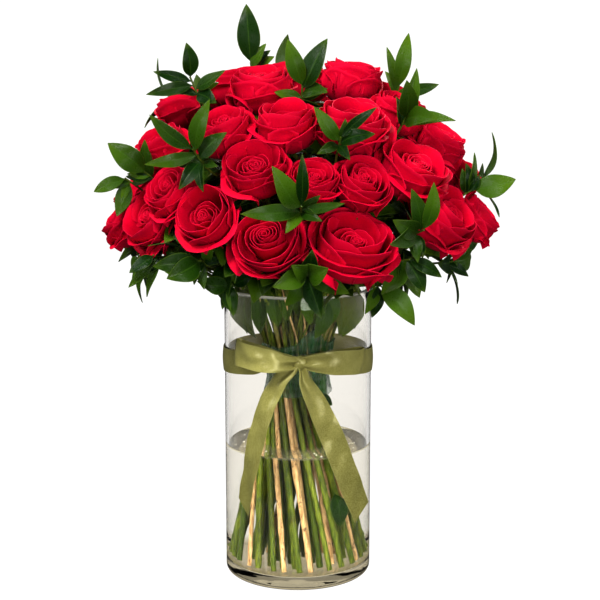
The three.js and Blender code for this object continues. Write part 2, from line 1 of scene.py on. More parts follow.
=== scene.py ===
"""Red roses and ruscus in a clear glass cylinder vase of water, with a green film round the
stems and an olive satin bow. Metres, +Z up, the front of the vase at -Y. Lengths inside the
helpers are millimetres, and Shape.object() turns them into metres."""
import math
from random import Random

import bpy
import numpy as np
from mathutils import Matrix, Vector


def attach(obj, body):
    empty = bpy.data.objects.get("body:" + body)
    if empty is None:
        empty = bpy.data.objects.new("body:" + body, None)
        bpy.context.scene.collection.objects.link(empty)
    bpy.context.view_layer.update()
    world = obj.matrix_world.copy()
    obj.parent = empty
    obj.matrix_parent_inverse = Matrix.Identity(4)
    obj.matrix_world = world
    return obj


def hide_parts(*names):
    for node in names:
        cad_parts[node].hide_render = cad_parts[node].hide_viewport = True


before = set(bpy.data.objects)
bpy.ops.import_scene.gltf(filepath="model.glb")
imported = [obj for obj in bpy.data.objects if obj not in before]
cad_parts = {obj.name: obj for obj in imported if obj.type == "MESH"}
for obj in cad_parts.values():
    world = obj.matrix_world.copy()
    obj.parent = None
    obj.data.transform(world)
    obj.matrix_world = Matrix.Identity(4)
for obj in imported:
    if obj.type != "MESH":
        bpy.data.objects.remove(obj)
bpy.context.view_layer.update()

MM = 0.001
UP = np.array([0.0, 0.0, 1.0])
SHARP_ANGLE = math.radians(50)
GOLDEN_ANGLE = 137.508
PHASES = (0, 6.28)  # where a wave may start, in radians

# ---- driving dimensions, in millimetres ----------------------------------------------------
VASE_HEIGHT = 300
VASE_RADIUS = 75
VASE_WALL = 3.5
VASE_BASE = 13
VASE_HEEL = 7
VASE_CORNER = 6
VASE_UNDERSIDE = [(0, 3.2), (20, 3.0), (40, 2.3), (54, 1.2), (62, 0.3), (65, 0.0)]
VASE_SIDES = 144
WATER_LEVEL = 138
WATER_LAP = 0.15  # how far the water reaches into the glass
MENISCUS = 1.6
MENISCUS_CURVE = [(1.0, 1.0), (0.985, 0.55), (0.965, 0.25), (0.94, 0.08), (0.9, 0.0)]
BUBBLES = {"count": 46, "radius": (0.5, 1.2), "distance": (48, 68)}

WAIST_HEIGHT = 206
BUNDLE_RADII, BUNDLE_HEIGHTS = [35, 31, 35.5, 41], [188, 206, 241, 262]
FILM_BOTTOM = 191
FILM_TOP = 243
FILM_FLAP = {"height": 17, "at": 0.42, "width": 0.3}  # an upper corner, by angle in radians
FILM_THICKNESS = 0.35

STEM_RADIUS = 2.9
NECK_RADIUS = 2.1
NECK_LENGTH = 9
STEM_FOOT_HEIGHT = 14.2
STEM_SLOT_HEIGHT = 228
STEM_BEND_RISE = 64
STEM_BEND_REACH = 42
STEM_BEND_FLARE = 8
STEM_BOW = 2.2
# [distance from the axis where a ring's heads start, radius at the tie, radius at the feet]
STEM_RINGS = [[165, 26.5, 52], [110, 17.5, 35], [0, 7.5, 16]]
STEM_SPIRAL = 58
FOOT_SPREAD = [0.96, 1.02]
FOOT_WANDER = 4.0  # how many degrees a foot may stand off its even place
SHAFT_STEPS = 26  # points along a stem from its foot to the tie
WOODY_STEMS = {1, 3, 6, 12, 16, 24, 31, 39}
WOODY_SLIMNESS = 0.82
RUSCUS_STEM_RADIUS = 2.4
LEAF_SCARS = {"share": 0.13, "swelling": 1.25}
TWIG_RADIUS = 1.3
TWIG_REACH = 50
TWIG_RISE = 2

DOME_CENTRE = 372
DOME_RADIUS = 182
DOME_HEIGHT = 148

# Each rose: azimuth (degrees from the front, + towards +X), distance from the axis and
# height of the middle of its open face, and the diameter of the head.
ROSES = [
    [17, 182, 373, 75], [-9, 182, 372, 63], [-28.5, 188, 397, 57], [54, 186, 391, 67],
    [-44, 180, 414, 51], [-56.5, 182, 385, 59], [5, 169, 428, 47], [22, 170, 426, 53],
    [43, 170, 440, 64], [-14, 166, 442, 58], [84, 168, 428, 48], [-5, 127, 484, 60],
    [-32, 139, 477, 58], [25, 130, 484, 66], [-33, 67, 518, 63], [90, 58, 524, 62],
    [-87, 123, 493, 54], [-61, 158, 457, 53], [-99, 180, 396, 50], [176, 72, 520, 56],
    [-119, 82, 516, 55], [114, 105, 500, 52], [63, 115, 491, 52], [71, 155, 459, 53],
    [83, 192, 378, 50], [-146, 14, 524, 60], [-165, 182, 366, 66], [165, 182, 368, 68],
    [-140, 182, 385, 61], [140, 182, 382, 62], [-115, 182, 369, 62], [112, 182, 372, 62],
    [-178, 169, 428, 60], [-152, 167, 432, 58], [155, 167, 432, 62], [130, 166, 435, 58],
    [-127, 164, 435, 58], [-105, 160, 443, 56], [170, 126, 479, 62], [-158, 126, 479, 60],
    [141, 125, 480, 58], [-126, 127, 478, 55], [104, 152, 459, 54], [-79, 186, 377, 54],
]
RUSCUS_STEMS = [[-150, 120], [-35, 120], [70, 120], [10, 120]]

# Each leafy tip: where its twig comes out between the heads (azimuth, distance, height), and
# its leaves [clock, lean, length, width]: the direction as on a clock face in degrees, the
# lean towards whoever looks, and the size.
FRONT_SPRAYS = [
    [[-88, 46, 519], [[-4, 0, 58, 26], [32, 10, 28, 16]]],
    [[-60, 114, 501], [[-5, 15, 34, 18], [-76, 10, 38, 12], [-98, 15, 46, 14], [68, 15, 36, 18],
                       [115, 40, 28, 18]]],
    [[3, 80, 497], [[-17, 10, 46, 20], [26, 12, 54, 26], [95, 35, 30, 20]]],
    [[85, 98, 494], [[-30, 10, 45, 12], [10, 0, 54, 18], [77, 0, 44, 15]]],
    [[47, 136, 470], [[10, 15, 44, 16], [-75, 25, 42, 22], [84, 10, 50, 16], [112, 50, 42, 24]]],
    [[-31.5, 172, 441], [[15, 15, 50, 18], [-50, 12, 50, 16], [-97, 20, 48, 14], [46, 20, 36, 18],
                         [-140, 30, 34, 16]]],
    [[1, 186, 397], [[-33, 25, 50, 24], [1, 20, 50, 13], [-90, 20, 56, 18], [79, 20, 40, 11]]],
    [[14, 156, 454], [[-38, 20, 42, 18], [48, 15, 42, 11], [72, 25, 36, 16]]],
    [[-55, 171, 421], [[-51, 10, 44, 26], [-5, 20, 34, 13]]],
    [[-68, 175, 412], [[-160, 5, 36, 20], [-110, 0, 34, 16]]],
    [[68, 178, 402], [[76, 5, 42, 26], [5, 5, 38, 12]]],
    [[37, 182, 372], [[-12, 20, 42, 18], [10, 10, 46, 16], [-70, 30, 36, 22], [-110, 30, 38, 22]]],
    [[36, 168, 345], [[-143, 25, 40, 22], [148, 15, 34, 20], [117, 10, 34, 15]]],
    [[28, 158, 322], [[138, 10, 48, 26], [-170, 10, 30, 14]]],
    [[-32, 166, 345], [[-115, 30, 38, 26], [-95, 20, 42, 22], [178, 20, 26, 12]]],
    [[-50, 170, 345], [[-158, 0, 42, 12], [-125, 10, 28, 16], [-137, -5, 42, 12]]],
    [[-27, 138, 320], [[-80, 20, 30, 20], [172, 20, 28, 18]]],
    [[3, 160, 335], [[-60, 25, 30, 22], [-105, 30, 36, 22], [8, 12, 36, 18], [68, 28, 34, 24],
                     [112, 15, 42, 22], [160, 15, 42, 22], [-145, 10, 34, 18]]],
]
BACK_SPRAYS = [
    [-167, 181, 413], [180, 187, 386], [171, 158, 453], [153, 185, 396], [125, 185, 396],
    [-126, 184, 399], [96, 184, 403], [-142, 148, 466], [142, 157, 456], [-106, 131, 481],
    [-174, 105, 498],
]
BACK_LEAVES = {"count": 3, "length": 44, "width": 21, "lean": 25}
COLLAR = {"from": 66, "to": 294, "count": 7, "distance": 158, "height": 333}
COLLAR_LEAVES = {"count": 3, "length": 42, "width": 22, "lean": 10}
NECK_AZIMUTHS = [-72, 28, 76, 150, -140]
NECK_LEAF = {"distance": 54, "height": 296, "length": 42, "width": 20}

RIBBON_WIDTH = 24
RIBBON_THICKNESS = 0.4
RIBBON_CROWN = 0.9  # how far the middle of a strip stands out from its edges
BAND_HEIGHT = 226
BAND_RISE = 10
BAND_GATHER = 13  # how much narrower the band is drawn at the knot
BAND_RADIUS = VASE_RADIUS + 1.1
# [x, y, height of the middle, width] round each loop of the bow, from the knot and back
LEFT_LOOP = [
    [0, -85, 237, 11], [-12, -91, 238, 15], [-26, -96, 241, 22], [-44, -93, 244, 25],
    [-57, -82, 246, 26], [-61, -72, 246, 26], [-55, -66, 245, 24], [-40, -75, 242, 24],
    [-22, -81, 239, 20], [0, -81, 237, 11],
]
RIGHT_LOOP = [
    [4, -85, 237, 11], [16, -91, 238, 18], [32, -94, 239, 23], [50, -87, 238, 24],
    [61, -75, 236.5, 24], [64, -66, 236.5, 24], [60, -62, 236.5, 24], [44, -72, 237, 24],
    [24, -80, 237, 20], [4, -81, 237, 11],
]
# [x, y, height, width, turn of the face from the front in degrees] down each tail
LEFT_TAIL = [
    [-1, -83, 236, 9, 0], [-8, -85, 230, 14, -10], [-17, -85, 220, 17, -25],
    [-29, -83, 197, 22, -45], [-38, -81, 170, 24, -45], [-46, -77, 135, 24, -52],
    [-55, -72, 83, 24, -62],
]
RIGHT_TAIL = [
    [4, -83, 235, 9, 0], [6, -86, 228, 11, 20], [8, -86, 217, 16, 30], [17, -84, 199, 22, 28],
    [34, -80, 161, 24, 12], [46, -76, 129, 24, 20], [62, -70, 86, 24, 35],
]
KNOT = [2, -82.2, 237]
KNOT_SIZE = {"width": 11, "around": 39}


# ---- small helpers -------------------------------------------------------------------------
def unit(v):
    return v / np.linalg.norm(v)


def polar(azimuth, distance, height):
    a = math.radians(azimuth)
    return np.array([distance * math.sin(a), -distance * math.cos(a), float(height)])


def turned(a, b, angle):
    return a * np.cos(angle) + b * np.sin(angle)


def sides_of(axis):
    """Two directions square to an axis and to each other, the first of them level."""
    side = unit(np.cross(axis, UP))
    return side, np.cross(axis, side)


def stacked(*numbers):
    return np.stack(np.broadcast_arrays(*numbers), axis=-1)


def fixed_stream(seed):
    """The numbers from 0 to 1 that place the feet and leaves, the same on every run."""
    state = seed
    while True:
        state = (state * 1664525 + 1013904223) % 4294967296
        yield state / 4294967296


def smooth(low, high, x):
    t = np.clip((x - low) / (high - low), 0, 1)
    return t * t * (3 - 2 * t)


def outward(place):
    """The way that a head or tip at this place looks."""
    from_tie = place - UP * WAIST_HEIGHT
    from_dome = (place - UP * DOME_CENTRE) / [DOME_RADIUS ** 2, DOME_RADIUS ** 2, DOME_HEIGHT ** 2]
    return unit(unit(from_tie) + unit(from_dome))


def bezier(a, b, c, d, t):
    t = np.asarray(t, float)[:, None]
    return a * (1 - t) ** 3 + 3 * b * t * (1 - t) ** 2 + 3 * c * t * t * (1 - t) + d * t ** 3


def through(points, count):
    """A smooth curve of so many points through rows of numbers."""
    p = np.array(points, float)
    p = np.vstack([2 * p[0] - p[1], p, 2 * p[-1] - p[-2]])
    out = []
    for t in np.linspace(0, len(p) - 3 - 1e-9, count):
        k = int(t)
        f = t - k
        a, b, c, d = p[k:k + 4]
        out.append(0.5 * (2 * b + (c - a) * f + (2 * a - 5 * b + 4 * c - d) * f * f
                          + (3 * b - 3 * c + d - a) * f ** 3))
    return np.array(out)


def ring_faces(at):
    """The faces between rings of points, given as rows of their numbers."""
    after = np.roll(at, -1, axis=1)
    return np.stack([at[:-1], after[:-1], after[1:], at[1:]], axis=-1).reshape(-1, 4)


def fan_faces(ring, pole):
    return stacked(pole, ring, np.roll(ring, -1))


def shell_faces(rows, columns):
    """The faces of a sheet's front and back, and of the rim between them."""
    at = np.arange(rows * columns).reshape(rows, columns)
    quads = np.stack([at[:-1, :-1], at[:-1, 1:], at[1:, 1:], at[1:, :-1]], axis=-1).reshape(-1, 4)
    rim = np.concatenate([at[0], at[1:, -1], at[-1, -2::-1], at[-2:0:-1, 0]])
    after = np.roll(rim, -1)
    sides = np.stack([after, rim, at.size + rim, at.size + after], axis=-1)
    return np.vstack([np.stack([quads, at.size + quads[:, ::-1]], axis=1).reshape(-1, 4), sides])


def store(mesh, name, values):
    """Keeps one number, or three, for each point of a mesh."""
    kind, field = ("FLOAT", "value") if values.ndim == 1 else ("FLOAT_VECTOR", "vector")
    attribute = mesh.attributes.new(name, kind, "POINT")
    attribute.data.foreach_set(field, values.astype(np.float32).ravel())


class Shape:
    """Vertices and faces, gathered into one mesh. Each vertex has a mark of three numbers,
    and a fourth that is 1 on the face side of a sheet and 0 elsewhere."""

    def __init__(self):
        self.verts, self.faces, self.marks, self.fronts, self.kinds = [], [], [], [], []
        self.count = 0

    def add(self, verts, groups, marks, kind=0, fronts=0.0):
        self.verts.append(verts)
        self.marks.append(np.broadcast_to(np.asarray(marks, float), (len(verts), 3)))
        self.fronts.append(np.broadcast_to(fronts, len(verts)))
        for faces in groups:
            self.faces.extend((faces + self.count).tolist())
            self.kinds.extend([kind] * len(faces))
        self.count += len(verts)

    def shell(self, grid, thickness, marks):
        """A thin closed sheet round a grid of points."""
        rows, columns = grid.shape[:2]
        normal = np.cross(np.gradient(grid, axis=1), np.gradient(grid, axis=0))
        normal /= np.maximum(np.linalg.norm(normal, axis=2, keepdims=True), 1e-9)
        if (rows, columns) not in SHELL_FACES:
            SHELL_FACES[rows, columns] = shell_faces(rows, columns)
        layers = np.stack([grid + normal * thickness / 2, grid - normal * thickness / 2])
        spread = np.broadcast_to(np.asarray(marks, float), layers.shape)
        self.add(layers.reshape(-1, 3), [SHELL_FACES[rows, columns]], spread.reshape(-1, 3),
                 fronts=np.repeat([1.0, 0.0], rows * columns))

    def rings(self, rings, ends, marks, kind, first_way):
        """A closed body of rings of points, with a fan of faces to a point at each end."""
        count, sides = rings.shape[:2]
        at = np.arange(count * sides).reshape(count, sides)
        marks = np.broadcast_to(np.asarray(marks, float), (count, 3))
        spread = np.vstack([np.repeat(marks, sides, axis=0), marks[:1], marks[-1:]])
        first, last = fan_faces(at[0], at.size), fan_faces(at[-1], at.size + 1)
        self.add(np.vstack([rings.reshape(-1, 3), ends]), [ring_faces(at), first[:, ::first_way], last],
                 spread, kind)

    def tube(self, path, radii, sides, marks, kind=0):
        """A closed tube along a path, with flat ends."""
        path = np.asarray(path, float)
        tangents = np.gradient(path, axis=0)
        tangents /= np.linalg.norm(tangents, axis=1, keepdims=True)
        side = np.cross(tangents[0], [0.31, 0.95, 0.05])
        turns = np.arange(sides)[:, None] * 2 * np.pi / sides
        rings = []
        for middle, tangent, radius in zip(path, tangents, radii):
            side = unit(side - tangent * side.dot(tangent))
            rings.append(middle + radius * turned(side, np.cross(tangent, side), turns))
        self.rings(np.array(rings), path[[0, -1]], marks, kind, -1)

    def lathe(self, profile, sides, middle=(0, 0, 0), kind=0):
        """A body turned round an upright axis, on which its profile of (radius, height) starts
        and ends. The fan at its start faces inward."""
        turns = np.arange(sides) * 2 * np.pi / sides
        circle = stacked(np.sin(turns), -np.cos(turns), 0.0)
        rings = np.array([radius * circle + UP * height for radius, height in profile]) + middle
        self.rings(rings[1:-1], rings[[0, -1], 0], (0, 0, 0), kind, 1)

    def object(self, name, materials):
        mesh = bpy.data.meshes.new(name)
        mesh.from_pydata((np.vstack(self.verts) * MM).tolist(), [], self.faces)
        store(mesh, "mark", np.vstack(self.marks))
        store(mesh, "face", np.concatenate(self.fronts))
        for material in materials:
            mesh.materials.append(material)
        mesh.polygons.foreach_set("material_index", self.kinds)
        mesh.polygons.foreach_set("use_smooth", [True] * len(mesh.polygons))
        mesh.update()
        mesh.set_sharp_from_angle(angle=SHARP_ANGLE)
        obj = bpy.data.objects.new(name, mesh)
        bpy.context.scene.collection.objects.link(obj)
        return obj

    def green(self, name, *materials):
        place_piece(self.object(name, materials), "greenery", "stems_and_greenery")


SHELL_FACES = {}


def place_piece(obj, slot, *nodes):
    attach(obj, "root")
    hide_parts(*nodes)
    return obj


# ---- materials -----------------------------------------------------------------------------
class Nodes:
    """A tree of shader nodes, built up step by step. What a node is given is a number, a
    colour or another node's output."""

    def __init__(self, tree):
        self.tree = tree

    def node(self, kind, inputs=(), **settings):
        node = self.tree.nodes.new("ShaderNode" + kind)
        for key, value in settings.items():
            setattr(node, key, value)
        for key, value in dict(inputs).items():
            self.give(node.inputs[key], value)
        return node

    def give(self, socket, value):
        if isinstance(value, bpy.types.NodeSocket):
            self.tree.links.new(value, socket)
        else:
            socket.default_value = (*value, 1) if socket.type == "RGBA" else value

    def attribute(self, name, output="Fac"):
        return self.node("Attribute", attribute_name=name).outputs[output]

    def place(self, kind="Object"):
        return self.node("TexCoord").outputs[kind]

    def apart(self, vector):
        return self.node("SeparateXYZ", {0: vector}).outputs

    def scaled(self, vector, x, y, z):
        return self.node("Mapping", {"Vector": vector, "Scale": (x, y, z)}).outputs[0]

    def noise(self, vector, scale, detail=2.0):
        return self.node("TexNoise", {"Vector": vector, "Scale": scale, "Detail": detail}).outputs[0]

    def wave(self, vector, scale, distortion, direction="X"):
        inputs = {"Vector": vector, "Scale": scale, "Distortion": distortion, "Detail": 1.5}
        return self.node("TexWave", inputs, bands_direction=direction).outputs["Fac"]

    def math(self, operation, a, b=0.0):
        return self.node("Math", {0: a, 1: b}, operation=operation).outputs[0]

    def times(self, a, b):
        return self.math("MULTIPLY", a, b)

    def plus(self, a, b):
        return self.math("ADD", a, b)

    def span(self, value, low, high, to_low=0.0, to_high=1.0):
        return self.node("MapRange", {
            "Value": value, "From Min": low, "From Max": high, "To Min": to_low, "To Max": to_high,
        }).outputs[0]

    def mix(self, share, a, b):
        return self.node("Mix", {0: share, 6: a, 7: b}, data_type="RGBA").outputs[2]

    def paint(self, colour, *coats):
        """Coats of (share, colour), each over the last."""
        for share, coat in coats:
            colour = self.mix(share, colour, coat)
        return colour


class Look(Nodes):
    """A material with one Principled shader."""

    def __init__(self, name):
        self.material = bpy.data.materials.new(name)
        self.material.use_nodes = True
        super().__init__(self.material.node_tree)
        self.shader = self.tree.nodes["Principled BSDF"]

    def set(self, **inputs):
        for key, value in inputs.items():
            self.give(self.shader.inputs[key.replace("_", " ")], value)
        return self.material

    def mark(self):
        """The mark of the mesh as one vector, and its three numbers."""
        vector = self.attribute("mark", "Vector")
        return vector, *self.apart(vector)

    def bump(self, height, strength, distance):
        inputs = {"Height": height, "Strength": strength, "Distance": distance}
        self.set(Normal=self.node("Bump", inputs).outputs[0])


# Noise scales, per metre
PORES = 700
SATIN_GRAINS = 900

PETAL_DEEP_AND_SHADE = (0.24, 0.0, 0.009)
PETAL_RED = (0.60, 0.0, 0.026)
PETAL_BRIGHT = (0.69, 0.0, 0.038)
PETAL_SHADE = (0.42, 0.0, 0.017)
PETAL_RIM_HIGHLIGHT = (0.72, 0.006, 0.054)
PETAL_BACK = (0.47, 0.002, 0.031)
PETAL_SHEEN = (1.0, 0.05, 0.2)
LEAF_DARK = (0.003, 0.021, 0.001)
LEAF_MID = (0.008, 0.045, 0.002)
LEAF_LIGHT = (0.05, 0.12, 0.003)
LEAF_LIME = (0.13, 0.24, 0.006)
LEAF_RIB = (0.06, 0.14, 0.012)
LEAF_EDGE = (0.10, 0.17, 0.012)
LEAF_UNDER = (0.05, 0.10, 0.025)
SHADED_LEAF_DARK = (0.025, 0.034, 0.002)
SHADED_LEAF_LIGHT = (0.13, 0.14, 0.010)
STEM_DARK = (0.032, 0.055, 0.006)
STEM_MID = (0.07, 0.11, 0.010)
STEM_LIGHT = (0.21, 0.25, 0.025)
WOOD_DARK = (0.42, 0.25, 0.10)
WOOD_LIGHT = (0.78, 0.54, 0.27)
WOOD_SCAR = (0.07, 0.035, 0.012)
FILM_DARK = (0.003, 0.062, 0.010)
FILM_LIGHT = (0.016, 0.17, 0.034)
FILM_PAINTED_HIGHLIGHT = (0.24, 0.44, 0.32)
SATIN_MID = (0.24, 0.226, 0.062)
SATIN_LIGHT = (0.34, 0.323, 0.102)
SATIN_DARK = (0.115, 0.112, 0.024)
SATIN_EDGE = (0.31, 0.295, 0.11)
SATIN_GRAIN = (0.42, 0.40, 0.15)
SATIN_GLOSS = (1.0, 0.96, 0.62)
SATIN_SHEEN = (0.95, 0.9, 0.55)
GLASS_TINT = (0.93, 0.914, 0.882)
GLASS_GLOSS = (0.3, 0.3, 0.3)
GLASS_DEPTH = (0.62, 0.58, 0.50)
FOOT_PAINTED_REFLECTION = (0.57, 0.51, 0.36)
FOOT_FADE = (0.012, 0.024)  # heights in metres between which the painted reflection in the foot fades out
RIM_PAINTED_HIGHLIGHT = (0.97, 0.94, 0.86)
RIM_FADE = (0.2965, 0.299)
WATER_TINT = (0.98, 0.972, 0.935)
WATER_PAINTED_REFLECTION = (0.66, 0.62, 0.46)
SURFACE_FADE = (0.1354, 0.1362)
BUBBLE_TINT = (0.85, 0.84, 0.78)


def petal_look():
    look = Look("rose_petal")
    vector, _, along, tone = look.mark()
    place = look.place()
    colour = look.paint(
        # darker towards each petal's base: partly the petal's own deeper red, partly painted shade deep in
        # the bloom
        PETAL_DEEP_AND_SHADE,
        (look.span(along, 0.4, 0.92), PETAL_RED),
        (look.span(tone, 0, 1, 0, 0.55), PETAL_BRIGHT),
        (look.span(look.noise(place, 55, 3), 0.35, 0.7, 0, 0.35), PETAL_SHADE),
        # painted highlight: lighter pink along each petal's border, where the rim would catch the light
        (look.span(look.attribute("edge"), 0.9, 1, 0, 0.6), PETAL_RIM_HIGHLIGHT),
        (look.times(look.attribute("face"), 0.3), PETAL_BACK))
    veins = look.wave(look.scaled(vector, 1.0, 0.05, 1.0), 9, 2.0)
    look.bump(look.plus(look.times(veins, 0.5), look.times(look.noise(place, PORES), 0.5)), 0.18, 0.0006)
    return look.set(Base_Color=colour, Roughness=0.6, Specular_IOR_Level=0.05, Sheen_Weight=0.04,
                    Sheen_Roughness=0.5, Sheen_Tint=PETAL_SHEEN, Subsurface_Weight=0.06,
                    Subsurface_Radius=(1.0, 0.12, 0.12), Subsurface_Scale=0.002)


def leaf_look(name, dark, light):
    look = Look(name)
    vector, across, along, tone = look.mark()
    place = look.place()
    side = look.math("ABSOLUTE", across)
    veins = look.wave(look.scaled(vector, 1.0, 0.06, 1.0), 4.2, 1.2)
    pores = look.noise(place, PORES)
    colour = look.paint(
        dark,
        (tone, light),
        (look.span(look.noise(place, 45, 3), 0.35, 0.75, 0, 0.5), LEAF_MID),
        (look.times(look.span(along, 0.3, 1.0, 0, 0.6), tone), LEAF_LIME),
        (look.span(side, 0.0, 0.07, 0.55, 0.0), LEAF_RIB),
        (look.span(side, 0.9, 1.0, 0.0, 0.5), LEAF_EDGE),
        (look.span(along, 0.8, 1.0, 0.0, 0.5), LEAF_EDGE),
        (look.span(look.attribute("face"), 1, 0, 0, 0.55), LEAF_UNDER),
        (look.times(veins, 0.22), dark))
    look.bump(look.plus(look.times(veins, 0.7), look.times(pores, 0.3)), 0.5, 0.0006)
    return look.set(Base_Color=colour, Roughness=look.span(pores, 0.3, 0.7, 0.24, 0.4),
                    Specular_IOR_Level=0.22)


def stem_look():
    """Green bark, or tan wood where the mark says so, with dark scars."""
    look = Look("plant_stem")
    _, _, woody, tone = look.mark()
    place = look.place()
    streaks = look.span(look.noise(look.scaled(place, 1, 1, 0.12), 420, 3), 0.35, 0.65)
    patches = look.noise(place, 60, 3)
    specks = look.noise(look.scaled(place, 1, 1, 0.6), 260)
    green = look.mix(streaks, look.mix(tone, STEM_DARK, STEM_MID), look.mix(tone, STEM_MID, STEM_LIGHT))
    wood = look.paint(WOOD_DARK, (streaks, WOOD_LIGHT), (look.span(specks, 0.62, 0.7, 0, 0.8), WOOD_SCAR))
    colour = look.paint(green, (woody, wood), (look.span(patches, 0.55, 0.75, 0, 0.45), WOOD_SCAR))
    look.bump(look.plus(streaks, look.times(patches, 0.7)), 0.35, 0.0006)
    return look.set(Base_Color=colour, Roughness=0.35, Specular_IOR_Level=0.2)


def film_look():
    look = Look("stretch_film")
    place = look.place()
    stretch = look.noise(look.scaled(place, 1, 1, 0.12), 130, 3)
    streaks = look.noise(look.scaled(place, 1, 1, 0.08), 170)
    folds = look.wave(place, 38, 5.0, "Z")
    # painted highlight: pale bluish streaks for the shine of the lamps on the stretched film
    colour = look.paint(FILM_DARK, (look.span(stretch, 0.3, 0.7), FILM_LIGHT),
                        (look.span(streaks, 0.56, 0.66, 0, 0.4), FILM_PAINTED_HIGHLIGHT))
    look.bump(look.plus(stretch, look.times(folds, 0.35)), 0.9, 0.003)
    return look.set(Base_Color=colour, Roughness=0.1, Specular_IOR_Level=1.0, Alpha=0.38)


def satin_look():
    look = Look("olive_satin")
    vector, across, _, tone = look.mark()
    place = look.place()
    threads = look.wave(vector, 22, 0.4)
    weft = look.wave(vector, 60, 0.5, "Y")
    side = look.math("ABSOLUTE", look.times(across, 2 / RIBBON_WIDTH))
    colour = look.paint(
        SATIN_MID,
        (look.span(look.noise(place, 60, 3), 0.3, 0.7), SATIN_LIGHT),
        (look.times(weft, 0.18), SATIN_DARK),
        # painted shade: the band behind the loops, and the tails towards their ends, are painted darker
        # through the mark's third number
        (look.times(tone, 0.75), SATIN_DARK),
        (look.span(look.noise(place, SATIN_GRAINS), 0.4, 0.6, 0, 0.3), SATIN_GRAIN),
        (look.span(side, 0.93, 0.99, 0, 0.4), SATIN_EDGE))
    look.bump(look.plus(look.times(threads, 0.4), weft), 0.12, 0.0002)
    return look.set(Base_Color=colour, Roughness=0.27, Specular_IOR_Level=0.65, Anisotropic=0.4,
                    Specular_Tint=SATIN_GLOSS, Sheen_Weight=0.1, Sheen_Roughness=0.35,
                    Sheen_Tint=SATIN_SHEEN)


def glass_look():
    look = Look("clear_glass")
    place = look.place()
    height = look.apart(place)[2]
    # the foot is painted olive-brown: a painted reflection of the stems' feet in the thick glass
    foot = look.span(height, *FOOT_FADE, 1, 0)
    # painted highlight round the rim: a cream band where the glass is half diffuse, as if the rim caught
    # the light
    rim = look.span(height, *RIM_FADE)
    ripple = look.noise(look.scaled(place, 1, 1, 0.2), 14, 1)
    swirl = look.times(look.times(look.noise(place, 34), 5.0), foot)
    depth = look.node("VolumeAbsorption", {"Color": GLASS_DEPTH, "Density": 2.5})
    look.tree.links.new(depth.outputs[0], look.tree.nodes["Material Output"].inputs["Volume"])
    look.bump(look.plus(ripple, swirl), 0.05, 0.002)
    return look.set(Base_Color=look.paint(GLASS_TINT, (foot, FOOT_PAINTED_REFLECTION), (rim, RIM_PAINTED_HIGHLIGHT)),
                    Roughness=0.0, IOR=1.5, Transmission_Weight=look.span(rim, 0, 1, 1.0, 0.5),
                    Specular_Tint=GLASS_GLOSS)


def water_look():
    look = Look("water")
    place = look.place()
    surface = look.span(look.apart(place)[2], *SURFACE_FADE)
    look.bump(look.noise(place, 45), 0.06, 0.001)
    # painted reflection: the top of the water is painted olive grey and made partly diffuse
    return look.set(Base_Color=look.mix(surface, WATER_TINT, WATER_PAINTED_REFLECTION), Roughness=0.0, IOR=1.333,
                    Transmission_Weight=look.span(surface, 0, 1, 1.0, 0.87),
                    Specular_Tint=GLASS_GLOSS)


PETAL = petal_look()
LEAF = leaf_look("ruscus_leaf", LEAF_DARK, LEAF_LIGHT)
# a darker copy of the leaf colours for the neck leaves at the sides: painted shade
SHADED_NECK_LEAF = leaf_look("shaded_neck_leaf", SHADED_LEAF_DARK, SHADED_LEAF_LIGHT)
STEM = stem_look()
FILM = film_look()
SATIN = satin_look()
GLASS = glass_look()
WATER = water_look()
BUBBLE = Look("air_bubble").set(Base_Color=BUBBLE_TINT, Roughness=0.1, IOR=1.2, Transmission_Weight=0.5)


# ---- vase and water ------------------------------------------------------------------------
def arc(centre, radius, start, end, count):
    """Points of [radius, height] round a centre, by angles in degrees."""
    turns = np.radians(np.linspace(start, end, count))
    return [(centre[0] + radius * math.cos(a), centre[1] + radius * math.sin(a)) for a in turns]


def make_vase():
    inner = VASE_RADIUS - VASE_WALL
    lip = VASE_WALL / 2
    profile = VASE_UNDERSIDE + arc((VASE_RADIUS - VASE_HEEL, VASE_HEEL), VASE_HEEL, -90, 0, 9)
    profile += [(VASE_RADIUS, z) for z in (40, 100, 160, 220, 270)]
    profile += arc((VASE_RADIUS - lip, VASE_HEIGHT - lip), lip, 0, 180, 11)
    profile += [(inner, z) for z in (270, 220, 160, 100, 40)]
    profile += arc((inner - VASE_CORNER, VASE_BASE + VASE_CORNER), VASE_CORNER, 0, -90, 8)
    shape = Shape()
    shape.lathe(profile + [(0, VASE_BASE)], VASE_SIDES)
    place_piece(shape.object("glass_vase", [GLASS]), "glass", "vase").visible_shadow = False


def make_water():
    radius = VASE_RADIUS - VASE_WALL + WATER_LAP
    bottom = VASE_BASE - WATER_LAP
    surface = WATER_LEVEL - MENISCUS
    profile = [(0, bottom)]
    profile += arc((radius - VASE_CORNER, bottom + VASE_CORNER), VASE_CORNER, -90, 0, 8)
    profile += [(radius, z) for z in (40, 80, 120)]
    profile += [(radius * r, surface + MENISCUS * h) for r, h in MENISCUS_CURVE]
    profile += [(radius * r, surface) for r in (0.6, 0.3, 0)]
    shape = Shape()
    shape.lathe(profile, VASE_SIDES)
    random = Random(12)
    for _ in range(BUBBLES["count"]):
        size = random.uniform(*BUBBLES["radius"])
        middle = polar(random.uniform(0, 360), random.uniform(*BUBBLES["distance"]), surface)
        shape.lathe(arc((0, 0), size, -90, 90, 7), 10, middle, 1)
    water = shape.object("vase_water", [WATER, BUBBLE])
    place_piece(water, "water", "water").visible_shadow = False


